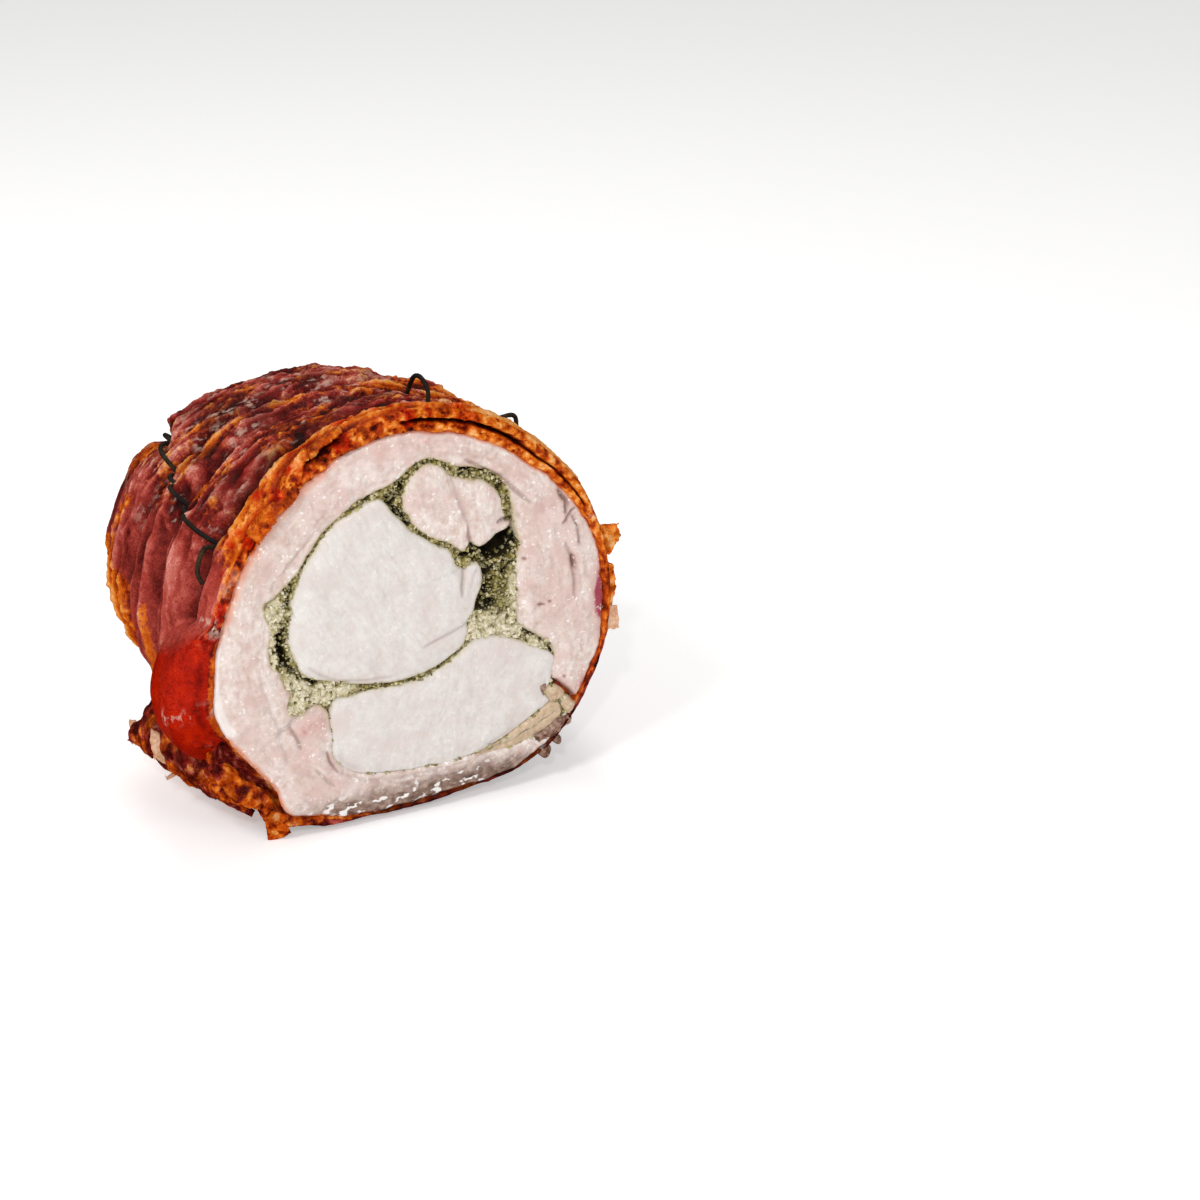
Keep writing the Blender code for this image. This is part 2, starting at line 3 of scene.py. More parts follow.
import bpy
import numpy as np
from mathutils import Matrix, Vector


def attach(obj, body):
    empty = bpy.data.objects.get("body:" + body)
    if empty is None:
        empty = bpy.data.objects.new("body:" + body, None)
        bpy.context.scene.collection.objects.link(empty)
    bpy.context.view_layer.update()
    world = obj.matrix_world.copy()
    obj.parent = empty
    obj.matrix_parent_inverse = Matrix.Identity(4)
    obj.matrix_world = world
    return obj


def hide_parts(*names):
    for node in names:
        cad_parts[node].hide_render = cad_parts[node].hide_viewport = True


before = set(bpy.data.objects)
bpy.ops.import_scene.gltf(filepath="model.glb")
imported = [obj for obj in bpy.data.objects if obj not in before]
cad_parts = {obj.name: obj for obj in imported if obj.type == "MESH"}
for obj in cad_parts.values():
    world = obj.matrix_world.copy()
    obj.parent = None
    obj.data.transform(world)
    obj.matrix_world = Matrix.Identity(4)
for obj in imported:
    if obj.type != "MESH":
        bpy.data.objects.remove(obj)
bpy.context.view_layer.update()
print("frame loaded")

# All shapes are in millimetres: X across the cut face, Y back from the cut, Z up from the board.
# toMetres turns them into the frame's metres at the very end.
roll = {
    "cutToOrigin": 36.0,
    "faceCentre": 58.0,    # height of the middle of the cut
    "bodyLength": 74.0,    # from the cut to where the far end starts to round over
    "endDepth": 26.0,      # how far that end reaches back
    "innerLength": 80.0,
    "innerEnd": 79.5,      # where the pieces inside stop
    "middleHeight": 60.0,
    # radius of the meat at the cut, every 15 degrees from +X towards +Z
    "meatRadii": (60.5, 60.0, 58.0, 56.0, 55.5, 56.0, 56.5, 57.0, 56.5, 56.0, 56.5, 57.5,
                  60.0, 62.5, 60.0, 59.5, 60.5, 57.0, 54.5, 55.5, 59.5, 61.5, 61.5, 61.5),
    # thickness of the skin there at the same angles
    "skinThickness": (2.5, 2.5, 3.0, 4.0, 5.0, 5.0, 4.5, 4.0, 3.5, 3.0, 2.5, 2.5,
                      3.0, 4.0, 4.5, 3.5, 3.0, 2.5, 3.5, 2.5, 1.0, 1.0, 1.5, 2.0),
    # place along the roll, half width, height of the centre, size above and below it, squareness
    "stations": ((0.0, 64.0, 58.0, 60.0, 60.5, 2.1), (30.0, 65.5, 58.0, 57.8, 61.0, 2.0),
                 (52.0, 66.0, 60.0, 55.0, 62.0, 1.95), (66.0, 64.5, 62.5, 52.5, 60.5, 1.95),
                 (74.0, 61.5, 64.0, 49.5, 56.0, 1.9)),
    "ties": ((13.0, 4.0), (33.0, 9.0), (51.0, 5.0)),   # middle of each groove, and how far it leans back
    "tieLeanAngle": 60.0,
    "grooveDepth": 5.0,
    "grooveWidth": 2.6,
    "longTieAngle": 141.0,
    # shallow hollows of the outside: depth, angle, half width, place where it begins and where it is full
    "hollows": ((7.0, 207.0, 13.0, 38.0, 60.0), (1.6, 90.0, 34.0, 8.0, 22.0), (2.2, 61.0, 8.0, 2.0, 8.0)),
}
fold = {
    # the bulging fold low on the left
    "angle": 185.0,
    "lean": 0.36,          # degrees lower for each mm further back
    "place": 12.0,
    "halfWidth": 18.2,
    "halfLength": 17.0,
    "squareness": 2.6,
    "height": 8.6,
}

dice = np.random.default_rng(11)
noiseOrder = dice.permutation(256)
noiseWays = dice.normal(size=(256, 3))
noiseWays /= np.linalg.norm(noiseWays, axis=1, keepdims=True)
cellSeeds = dice.uniform(0.08, 0.92, size=(256, 3))


def toMetres(points):
    # moved so that the origin is on the underside, then scaled to metres
    return (np.asarray(points, float) - (0.0, roll["cutToOrigin"], 0.0)) * 0.001


def smoothStep(low, high, value):
    # 0 below low, 1 above high, a smooth rise between them, or a fall where low is the larger
    t = np.clip((value - low) / (high - low), 0.0, 1.0)
    return t * t * (3.0 - 2.0 * t)


def band(value, rise, full, fall, end):
    # 1 between full and fall, 0 before rise and after end, smooth between them
    return smoothStep(rise, full, value) * smoothStep(end, fall, value)


def bell(value, width):
    # 1 at zero, falling off as a bell on both sides
    return np.exp(-(value / width) ** 2)


def cornerIndex(cell):
    # a fixed shuffled number from 0 to 255 for each lattice corner
    at = cell & 255
    return noiseOrder[(noiseOrder[(noiseOrder[at[..., 0]] + at[..., 1]) & 255] + at[..., 2]) & 255]


def noise(points, size, shift=0.0):
    # gradient noise, about -1 to 1: slopes at the eight corners of a cell, blended by a smooth step
    place = points / size + shift
    cell = np.floor(place).astype(int)
    part = place - cell
    ease = part ** 3 * (part * (part * 6.0 - 15.0) + 10.0)
    total = np.zeros(place.shape[:-1])
    for corner in np.ndindex(2, 2, 2):
        slope = (noiseWays[cornerIndex(cell + corner)] * (part - corner)).sum(-1)
        total += np.where(corner, ease, 1.0 - ease).prod(-1) * slope
    return total * 1.7


def layeredNoise(points, size, layers=4, shift=0.0):
    # noise, plus half as much at half the size, and so on
    return sum(noise(points, size / 2 ** k, shift + 7.7 * k) * 0.5 ** k for k in range(layers))


def cellNoise(points, size, shift=0.0):
    # distance to the nearest scattered seed, in cells, and that seed's own number from 0 to 1
    place = points / size + shift
    cell = np.floor(place).astype(int)
    nearest = np.full(place.shape[:-1], 9.0)
    number = np.zeros(place.shape[:-1])
    for offset in np.ndindex(3, 3, 3):
        at = cell + offset - 1
        index = cornerIndex(at)
        distance = ((place - at - cellSeeds[index]) ** 2).sum(-1)
        number = np.where(distance < nearest, index / 255.0, number)
        nearest = np.minimum(distance, nearest)
    return np.sqrt(nearest), number


def pathDistance(x, z, path):
    # least distance from each (x, z) to a line of straight runs, and the share of the way along it
    best = np.full(np.shape(x), 1e9)
    share = np.zeros(np.shape(x))
    for i, (a, b) in enumerate(zip(path, path[1:])):
        edge = np.subtract(b, a)
        t = np.clip(((x - a[0]) * edge[0] + (z - a[1]) * edge[1]) / edge.dot(edge), 0.0, 1.0)
        distance = np.hypot(x - a[0] - t * edge[0], z - a[1] - t * edge[1])
        share = np.where(distance < best, (i + t) / (len(path) - 1), share)
        best = np.minimum(best, distance)
    return best, share


def insideOutline(x, z, outline):
    # true where a ray to the right crosses the closed outline an odd number of times
    inside = np.zeros(np.shape(x), bool)
    for (ax, az), (bx, bz) in zip(outline, np.roll(outline, -1, axis=0)):
        if az != bz:
            crosses = (az > z) != (bz > z)
            inside ^= crosses & (x < (bx - ax) * (z - az) / (bz - az) + ax)
    return inside


def curveBetween(a, b, c, d, t):
    # a smooth curve from b to c, its slopes there taken from the neighbours
    return b + 0.5 * t * (c - a + t * (2 * a - 5 * b + 4 * c - d + t * (3 * (b - c) + d - a)))


def pointsAt(across, back, up):
    # points from three arrays or numbers
    return np.stack(np.broadcast_arrays(across, back, up), -1)


def aroundTable(table, angle):
    # the table's value at an angle, as a smooth closed curve through equal steps round the circle
    values = np.asarray(table, float)
    count = len(values)
    place = (angle % 360.0) / (360.0 / count)
    index = np.floor(place).astype(int)
    t = place - index
    return curveBetween(*(values[(index + k) % count] for k in (-1, 0, 1, 2)), t)


def alongTable(table, place, column):
    # one column of the table at a place along the roll, eased between its rows
    table = np.asarray(table, float)
    place = np.clip(place, table[0, 0], table[-1, 0])
    index = np.clip(np.searchsorted(table[:, 0], place, side="left") - 1, 0, len(table) - 2)
    t = smoothStep(table[index, 0], table[index + 1, 0], place)
    return table[index, column] * (1.0 - t) + table[index + 1, column] * t


def meatRadius(angle):
    # the traced edge of the meat at the cut, with a slightly wavy line
    turn = np.radians(angle)
    ring = pointsAt(np.cos(turn), np.sin(turn), 0.0) * roll["middleHeight"]
    wave = 0.5 * noise(ring, 7.0) + 0.3 * noise(ring, 2.6, 5.0)
    return aroundTable(roll["meatRadii"], angle) + cornerPoint(angle) + wave


def tieLean(place):
    # how far a ring round the roll leans back at this place
    knots = ((0.0, 0.0),) + roll["ties"] + ((roll["bodyLength"], 0.0),)
    return alongTable(knots, place, 1)


def baseRadius(angle, place):
    # the traced outline at the cut, blended into an oval further back, cut flat by the board below
    halfWidth, centre, above, below, power = (alongTable(roll["stations"], place, k) for k in range(1, 6))
    turn = np.radians(angle)
    tall = np.where(np.sin(turn) >= 0.0, above, below)
    sideways, upward = np.abs(np.cos(turn)) / halfWidth, np.abs(np.sin(turn)) / tall
    oval = (sideways ** power + upward ** power) ** (-1.0 / power)
    traced = aroundTable(roll["meatRadii"], angle) + aroundTable(roll["skinThickness"], angle)
    traced = traced + cornerSwell(angle)
    radius = traced + (oval - traced) * smoothStep(4.0, 32.0, place)
    flat = 7.0 * smoothStep(62.0, roll["bodyLength"], place)
    toBoard = (centre - flat) / np.maximum(-np.sin(turn), 0.2)
    return np.where(np.sin(turn) < -0.2, np.minimum(radius, toBoard), radius)


def outerPoint(angle, place, lift=0.0, tied=True):
    # a point on the roll's outside; places past the body's length climb over the rounded end
    angle, place, lift = np.broadcast_arrays(np.asarray(angle, float), np.asarray(place, float), lift)
    beyond = np.maximum(place - roll["bodyLength"], 0.0)
    climb = np.minimum(beyond / roll["endDepth"], 1.0) * math.pi / 2.0
    body = np.minimum(place, roll["bodyLength"])
    turn = np.radians(angle)
    radius = baseRadius(angle, body)
    if tied:
        radius = radius + sideLobe(angle, body) + rimLip(angle, body)
        lift = lift - tieDepth(angle, body)
    radius = radius * np.maximum(np.cos(climb), 0.0) ** 0.85
    if tied:
        offCrease = radius * np.sin(np.radians(angle - roll["longTieAngle"]))
        lift = lift - 4.2 * smoothStep(57.0, 68.0, place) * bell(offCrease, 2.8)
        for deep, middle, wide, begins, full in roll["hollows"]:
            lift = lift - deep * bell(angle - middle, wide) * smoothStep(begins, full, place)
        pleats = np.sin(11.0 * turn + 0.8) + 0.6 * np.sin(17.0 * turn)
        lift = lift + 0.8 * pleats * np.sin(2.0 * climb)
    radius = radius + lift * np.cos(climb)
    back = body + tieLean(body) * np.cos(np.radians(angle - roll["tieLeanAngle"]))
    back = back + (roll["endDepth"] + lift) * np.sin(climb)
    height = alongTable(roll["stations"], body, 2) + radius * np.sin(turn)
    return np.stack([radius * np.cos(turn), back, np.maximum(height, 0.0)], -1)


def tieDepth(angle, place):
    # how deep the ties press in, less the swell of the lobes between them, with the side pleats
    depth = np.zeros(np.shape(place))
    for middle, _ in roll["ties"]:
        groove = np.exp(-(np.abs(place - middle) / roll["grooveWidth"]) ** 1.5)
        depth = depth + roll["grooveDepth"] * (1.0 - 0.2 * bell(angle - 321.0, 9.0)) * groove
    upper = smoothStep(-0.75, -0.2, np.sin(np.radians(angle)))
    swell = 0.7 + 1.2 * band(angle, 105.0, 125.0, 150.0, 170.0)
    swell = swell * upper * smoothStep(2.0, 8.0, place)
    swell = swell * (1.0 - np.minimum(depth / roll["grooveDepth"], 1.0))
    pleats = sum(deep * bell(place - at, wide) for at, deep, wide in ((26.5, 2.2, 1.1), (43.0, 3.4, 1.7)))
    cover = lobeCover(angle, place)
    pleats = (pleats - 2.3 * pleatRise(place)) * leftSide(angle) * (1.0 - cover)
    return depth * (1.0 - 0.9 * cover) - swell + pleats


def leftSide(angle):
    # 1 on the left side of the roll, where the pleats are
    return smoothStep(0.60, 0.92, -np.cos(np.radians(angle - 2.0)))


def pleatRise(place):
    # each pleat rises away from the cut, then drops sharply into the next trough
    knots = (3.0, 10.5, 12.0, 13.5, 25.4, 26.6, 32.0, 33.5, 42.0, 43.4, 50.0, 51.5, 62.0, 70.0)
    heights = (0.0, 0.8, 0.0, 0.0, 1.0, 0.0, 1.0, 0.0, 1.0, 0.0, 1.0, 0.0, 0.7, 0.0)
    return np.interp(place, knots, heights)


def besideFold(angle, place):
    # degrees from the middle of the fold low on the left
    return angle - fold["angle"] - fold["lean"] * place


def lobeShare(angle, place):
    # 0 in the middle of that fold, 1 at its edge
    sideways = np.abs(besideFold(angle, place)) / fold["halfWidth"]
    along = np.abs(place - fold["place"]) / fold["halfLength"]
    return sideways ** fold["squareness"] + along ** fold["squareness"]


def lobeCover(angle, place):
    # 1 where that fold hides the near tie
    return smoothStep(1.15, 0.8, lobeShare(angle, place))


def sideLobe(angle, place):
    # the fold's swell, steep at its edge
    soft = 0.55 + 0.4 * smoothStep(0.0, -12.0, besideFold(angle, place))
    return fold["height"] * np.maximum(1.0 - lobeShare(angle, place), 0.0) ** soft


def lobeAtRim(angle):
    # 1 where the fold rounds over to the meat at the cut
    return smoothStep(1.0, 0.35, ((angle - 186.5) / 14.5) ** 2)


def cornerPoint(angle):
    # the cut's outline comes to a point at its lower left
    return 4.0 * bell(angle - 231.0, 5.5)


def cornerSwell(angle):
    # the swelling beside that point, and the point itself
    return 2.6 * bell(angle - 212.0, 9.0) + cornerPoint(angle)


def rimLip(angle, place):
    # the doubled fold of skin over the top of the cut face
    top = band(angle, 14.0, 34.0, 112.0, 140.0)
    return 2.4 * top * bell(place - 3.0, 3.2)


def innerPoint(x, back, z):
    # a point of the cut face, carried back to where the roll narrows
    t = np.maximum(back, 0.0) / roll["innerLength"]
    size = 1.0 - 0.05 * t - 0.16 * t ** 3
    centre = roll["faceCentre"]
    return pointsAt(x * size, back, centre + 6.0 * t ** 2 + (z - centre) * size)


def smoothOutline(points, pieces):
    # a closed smooth curve through the points, each stretch in several pieces
    values = np.asarray(points, float)
    a, b, c, d = (np.roll(values, -k, axis=0)[:, None] for k in (-1, 0, 1, 2))
    t = (np.arange(pieces) / pieces)[None, :, None]
    return curveBetween(a, b, c, d, t).reshape(-1, 2)


def evenOutline(outline, count):
    # the same closed line with evenly spaced points
    closed = np.vstack([outline, outline[:1]])
    length = np.concatenate([[0.0], np.cumsum(np.hypot(*np.diff(closed, axis=0).T))])
    at = np.linspace(0.0, length[-1], count, endpoint=False)
    return np.stack([np.interp(at, length, closed[:, k]) for k in (0, 1)], -1)


def grownOutline(outline, distance):
    # every point moved straight out from the line by a distance
    along = np.roll(outline, -1, axis=0) - np.roll(outline, 1, axis=0)
    out = np.stack([along[:, 1], -along[:, 0]], -1) / np.linalg.norm(along, axis=1)[:, None]
    x, z = outline.T
    area = (x * np.roll(z, -1) - np.roll(x, -1) * z).sum()
    return outline + out * distance * np.sign(area)


noFaces = np.zeros((0, 3), int)


def buildPiece(name, points, quads, tris, masks, materialUsed, slot, replaced=(), smooth=True):
    # a mesh object from arrays, turned right side out by the sign of its volume
    points = np.asarray(points, float).reshape(-1, 3)
    quads = np.asarray(quads, int).reshape(-1, 4)
    tris = np.asarray(tris, int).reshape(-1, 3)
    fans = np.vstack([quads[:, [0, 1, 2]], quads[:, [0, 2, 3]], tris])
    corners = points[fans] - points.mean(0)
    if np.einsum("ij,ij->i", corners[:, 0], np.cross(corners[:, 1], corners[:, 2])).sum() < 0.0:
        quads, tris = quads[:, ::-1], tris[:, ::-1]
    loops = np.concatenate([quads.ravel(), tris.ravel()])
    totals = np.concatenate([np.full(len(quads), 4), np.full(len(tris), 3)])
    mesh = bpy.data.meshes.new(name)
    mesh.vertices.add(len(points))
    mesh.vertices.foreach_set("co", toMetres(points).ravel())
    mesh.loops.add(len(loops))
    mesh.loops.foreach_set("vertex_index", loops)
    mesh.polygons.add(len(totals))
    mesh.polygons.foreach_set("loop_start", np.cumsum(totals) - totals)
    mesh.polygons.foreach_set("loop_total", totals)
    mesh.polygons.foreach_set("use_smooth", np.full(len(totals), smooth))
    mesh.update(calc_edges=True)
    for key, values in (masks or {}).items():
        layer = mesh.attributes.new(key, "FLOAT", "POINT")
        layer.data.foreach_set("value", np.asarray(values, float).ravel())
    mesh.materials.append(materialUsed)
    piece = bpy.data.objects.new(name, mesh)
    bpy.context.scene.collection.objects.link(piece)
    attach(piece, "root")
    if replaced:
        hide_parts(*replaced)
    print(name, "has", 2 * len(quads) + len(tris), "triangles")
    return piece


def gridFaces(rows, columns, closeRows=False, closeColumns=True):
    # quads between neighbouring rows and columns of a grid of points
    r = np.arange(rows if closeRows else rows - 1)[:, None]
    c = np.arange(columns if closeColumns else columns - 1)[None, :]
    below, right = (r + 1) % rows, (c + 1) % columns
    quads = [r * columns + c, r * columns + right, below * columns + right, below * columns + c]
    return np.stack(np.broadcast_arrays(*quads), -1).reshape(-1, 4)


def poleFaces(rowStart, columns, pole, flip=False):
    # triangles from a closed row of points to one point
    c = np.arange(columns)
    ring = np.stack([rowStart + c, rowStart + (c + 1) % columns, np.full(columns, pole)], -1)
    return ring[:, ::-1] if flip else ring


def closedRings(rings):
    # a grid of rings with a pole at each end: its points, quads and triangles
    rows, columns = rings.shape[:2]
    points = np.vstack([rings.reshape(-1, 3), rings[0].mean(0), rings[-1].mean(0)])
    tris = np.vstack([poleFaces(0, columns, rows * columns, flip=True),
                      poleFaces((rows - 1) * columns, columns, rows * columns + 1)])
    return points, gridFaces(rows, columns), tris


def withPoles(values):
    # one mask value for each grid point, then the two poles' values
    return np.concatenate([values.ravel(), [values[0].mean(), values[-1].mean()]])


def gridNormals(grid):
    # the cross product of the two directions of the grid
    down, across = np.gradient(grid, axis=0), np.gradient(grid, axis=1)
    normal = np.cross(across, down)
    return normal / np.maximum(np.linalg.norm(normal, axis=-1, keepdims=True), 1e-9)


def sheetBody(grid, thickness):
    # a thin closed sheet: the grid, a copy moved along its normals, and walls round its four edges
    rows, columns = grid.shape[:2]
    lower = grid - gridNormals(grid) * np.broadcast_to(thickness, (rows, columns))[..., None]
    count = rows * columns
    top = gridFaces(rows, columns, closeColumns=False)
    bottom = top[:, ::-1] + count
    index = np.arange(count).reshape(rows, columns)
    rim = np.concatenate([index[0, :-1], index[:-1, -1], index[-1, :0:-1], index[:0:-1, 0]])
    following = np.roll(rim, -1)
    walls = np.stack([rim, rim + count, following + count, following], -1)
    return np.vstack([grid.reshape(-1, 3), lower.reshape(-1, 3)]), np.vstack([top, bottom, walls]), noFaces


def joined(bodies):
    # several bodies of points, quads and triangles as one
    starts = np.cumsum([0] + [len(points) for points, _, _ in bodies[:-1]])
    quads, tris = (np.vstack([body[k] + start for body, start in zip(bodies, starts)]) for k in (1, 2))
    return np.vstack([body[0] for body in bodies]), quads, tris


def hexColour(text):
    # a screen colour as the linear values that a shader takes
    values = np.array([int(text[k:k + 2], 16) for k in (1, 3, 5)]) / 255.0
    linear = np.where(values < 0.04045, values / 12.92, ((values + 0.055) / 1.055) ** 2.4)
    return (*[float(v) for v in linear], 1.0)


def addNode(tree, kind, inputs=None, **settings):
    # a shader node whose inputs are joined to sockets or set to values
    made = tree.nodes.new(kind)
    for key, value in settings.items():
        setattr(made, key, value)
    for key, value in (inputs or {}).items():
        if isinstance(value, bpy.types.NodeSocket):
            tree.links.new(value, made.inputs[key])
        else:
            made.inputs[key].default_value = value
    return made


def newPaint(name, roughness, specular=0.5, coat=0.0, coatRoughness=0.2):
    # a material with its principled shader's even values set
    paint = bpy.data.materials.new(name)
    paint.use_nodes = True
    shader = paint.node_tree.nodes["Principled BSDF"]
    shader.inputs["Roughness"].default_value = roughness
    shader.inputs["Specular IOR Level"].default_value = specular
    shader.inputs["Coat Weight"].default_value = coat
    shader.inputs["Coat Roughness"].default_value = coatRoughness
    return paint, paint.node_tree, shader


def speckle(tree, size, detail=3.0, stretch=(1.0, 1.0, 1.0)):
    # noise on Object coordinates, with bumps of this size in millimetres
    coords = addNode(tree, "ShaderNodeTexCoord").outputs["Object"]
    mapping = addNode(tree, "ShaderNodeMapping", {"Vector": coords, "Scale": stretch})
    made = addNode(tree, "ShaderNodeTexNoise", {"Vector": mapping.outputs[0], "Scale": 1000.0 / size,
                                               "Detail": detail, "Roughness": 0.6})
    return made.outputs["Fac"]


def calc(tree, operation, a, b=0.0, clamp=False):
    # one sum on two sockets or numbers
    return addNode(tree, "ShaderNodeMath", {0: a, 1: b}, operation=operation, use_clamp=clamp).outputs[0]


def weighted(tree, *terms):
    # values, each times its weight, added up
    parts = [calc(tree, "MULTIPLY", value, weight) for value, weight in terms]
    total = parts[0]
    for part in parts[1:]:
        total = calc(tree, "ADD", total, part)
    return total


def aboveHalf(tree, value, weight):
    # how far a value lies above a half, times a weight
    return calc(tree, "MULTIPLY", calc(tree, "SUBTRACT", value, 0.5), weight)


def maskOf(tree, name):
    # the mesh's own mask of that name
    return addNode(tree, "ShaderNodeAttribute", attribute_name=name).outputs["Fac"]


def ramp(tree, factor, stops):
    # colours at their places between 0 and 1
    made = addNode(tree, "ShaderNodeValToRGB", {"Fac": factor})
    elements = made.color_ramp.elements
    while len(elements) < len(stops):
        elements.new(0.5)
    for element, (place, colour) in zip(elements, stops):
        element.position = place
        element.color = hexColour(colour)
    return made.outputs["Color"]


def steps(tree, factor, low, high):
    # 0 below low and 1 above high
    made = addNode(tree, "ShaderNodeMapRange", {"Value": factor, "From Min": low, "From Max": high},
                   interpolation_type="SMOOTHSTEP")
    return made.outputs["Result"]


def layered(tree, colour, *layers):
    # colours laid over the first one, each by its own factor
    for factor, over in layers:
        over = hexColour(over) if isinstance(over, str) else over
        colour = addNode(tree, "ShaderNodeMix", {0: factor, 6: colour, 7: over}, data_type="RGBA").outputs[2]
    return colour


def addBump(tree, shader, height, distance, strength):
    # small bumps in the shading, their height in metres
    bump = addNode(tree, "ShaderNodeBump", {"Height": height, "Distance": distance, "Strength": strength})
    tree.links.new(bump.outputs["Normal"], shader.inputs["Normal"])


def makeSkinPaint():
    # mauve, rosy and orange crusts mixed by the masks of the mesh, darker in the hollows as painted shade and
    # lighter on the crests as painted highlight, with char, painted shade in the grooves and gaps, pale
    # painted glints and shine
    paint, tree, shader = newPaint("roastedSkin", 0.4, specular=0.11)
    fine = speckle(tree, 1.6, 4.0)
    tiny = speckle(tree, 0.45, 2.0)
    broad = speckle(tree, 9.0, 2.0)
    streaks = speckle(tree, 1.3, 2.0, (0.4, 1.0, 0.4))
    # the tone follows the relief: painted shade in the hollows, painted highlight on the crests
    tone = weighted(tree, (maskOf(tree, "relief"), 0.9), (fine, 0.5))
    tone = calc(tree, "SUBTRACT", calc(tree, "ADD", tone, aboveHalf(tree, tiny, 0.5)), 0.24)
    mauve = ramp(tree, tone, ((0.08, "#1E0302"), (0.30, "#4C0B08"), (0.50, "#761A14"), (0.66, "#9C3228"),
                              (0.84, "#C05E50"), (1.0, "#E0A08E")))
    orange = ramp(tree, tone, ((0.06, "#300801"), (0.26, "#7A2202"), (0.46, "#B44206"), (0.64, "#D6660E"),
                               (0.82, "#EE9238"), (1.0, "#F6C084")))
    rosy = ramp(tree, tone, ((0.1, "#56100A"), (0.32, "#902C22"), (0.56, "#BE4C40"), (0.82, "#D67C6E"),
                             (1.0, "#E8B4A6")))
    lobe = ramp(tree, tone, ((0.1, "#5E0600"), (0.35, "#941000"), (0.55, "#B81C00"), (0.8, "#D03604"),
                             (1.0, "#EE7430")))
    patches = calc(tree, "ADD", maskOf(tree, "orange"), aboveHalf(tree, fine, 1.5))
    patches = calc(tree, "ADD", patches, aboveHalf(tree, broad, 0.9))
    red = calc(tree, "ADD", maskOf(tree, "lobe"), aboveHalf(tree, broad, 0.5))
    # char, with painted shade in the grooves, gaps and hollows
    burntAndShaded = calc(tree, "MULTIPLY", maskOf(tree, "char"), steps(tree, fine, 0.2, 0.55))
    # painted highlights: pale glint streaks, with the pale torn edges
    pale = calc(tree, "MULTIPLY", maskOf(tree, "pale"), steps(tree, streaks, 0.5, 0.62))
    colour = layered(tree, mauve, (maskOf(tree, "rosy"), rosy), (steps(tree, patches, 0.3, 0.72), orange),
                     (steps(tree, red, 0.25, 0.75), lobe), (burntAndShaded, "#2E0603"), (pale, "#DDB4A2"))
    tree.links.new(colour, shader.inputs["Base Color"])
    shine = calc(tree, "MULTIPLY", maskOf(tree, "gloss"), -0.34)
    rough = calc(tree, "ADD", calc(tree, "ADD", shine, 0.30), calc(tree, "MULTIPLY", tiny, 0.16), clamp=True)
    tree.links.new(rough, shader.inputs["Roughness"])
    addBump(tree, shader, calc(tree, "ADD", fine, calc(tree, "MULTIPLY", tiny, 0.5)), 0.0011, 0.7)
    return paint


def makeMeatPaint(name, light, dark, glintAmount):
    # pale cooked meat with fine grain, small white wet glints as painted highlights, pink, fatty and stewed
    # parts, painted shade in the creases, stained beside skin and herbs
    paint, tree, shader = newPaint(name, 0.4, specular=0.4, coat=0.35, coatRoughness=0.1)
    fine = speckle(tree, 0.6, 2.0)
    grain = speckle(tree, 1.7, 3.0)
    broad = speckle(tree, 6.0, 3.0)
    tone = weighted(tree, (grain, 0.45), (broad, 0.4), (fine, 0.15))
    tone = calc(tree, "ADD", tone, aboveHalf(tree, maskOf(tree, "fibre"), 0.2))
    pink, stew = maskOf(tree, "pink"), maskOf(tree, "stew")
    stewed = ramp(tree, tone, ((0.34, "#482C20"), (0.48, "#7E6050"), (0.62, "#B09686")))
    stained = calc(tree, "MULTIPLY", maskOf(tree, "stain"), steps(tree, grain, 0.0, 0.7))
    near = calc(tree, "ADD", maskOf(tree, "herb"), aboveHalf(tree, grain, 0.7))
    # painted highlights: small white glints, and larger ones on the stewed strip
    spots = steps(tree, speckle(tree, 1.1, 1.0), 0.61, 0.69)
    spots = calc(tree, "MULTIPLY", spots, steps(tree, broad, 0.42, 0.58))
    spots = calc(tree, "MULTIPLY", spots, calc(tree, "SUBTRACT", glintAmount, stew), clamp=True)
    stewGlints = steps(tree, speckle(tree, 2.6, 2.0, stretch=(0.6, 1.0, 1.0)), 0.57, 0.62)
    spots = calc(tree, "ADD", spots, calc(tree, "MULTIPLY", stewGlints, stew), clamp=True)
    colour = layered(tree, ramp(tree, tone, ((0.34, dark), (0.60, light))),
                     (calc(tree, "MULTIPLY", pink, steps(tree, tone, 0.25, 0.7)), "#CC948C"),
                     (steps(tree, pink, 0.9, 1.5), "#A84458"), (maskOf(tree, "fat"), "#EEE4DF"),
                     (stew, stewed), (maskOf(tree, "shade"), "#7A4A3C"), (stained, "#DE6C18"),
                     (calc(tree, "MULTIPLY", steps(tree, near, 0.1, 0.9), 0.55), "#B2A468"),
                     (steps(tree, near, 0.88, 1.08), "#5A5220"), (spots, "#FBF7F4"))
    tree.links.new(colour, shader.inputs["Base Color"])
    shader.inputs["Subsurface Weight"].default_value = 0.2
    shader.inputs["Subsurface Radius"].default_value = (1.0, 0.5, 0.35)
    shader.inputs["Subsurface Scale"].default_value = 0.002
    addBump(tree, shader, calc(tree, "ADD", grain, calc(tree, "MULTIPLY", fine, 0.4)), 0.0006, 0.3)
    return paint


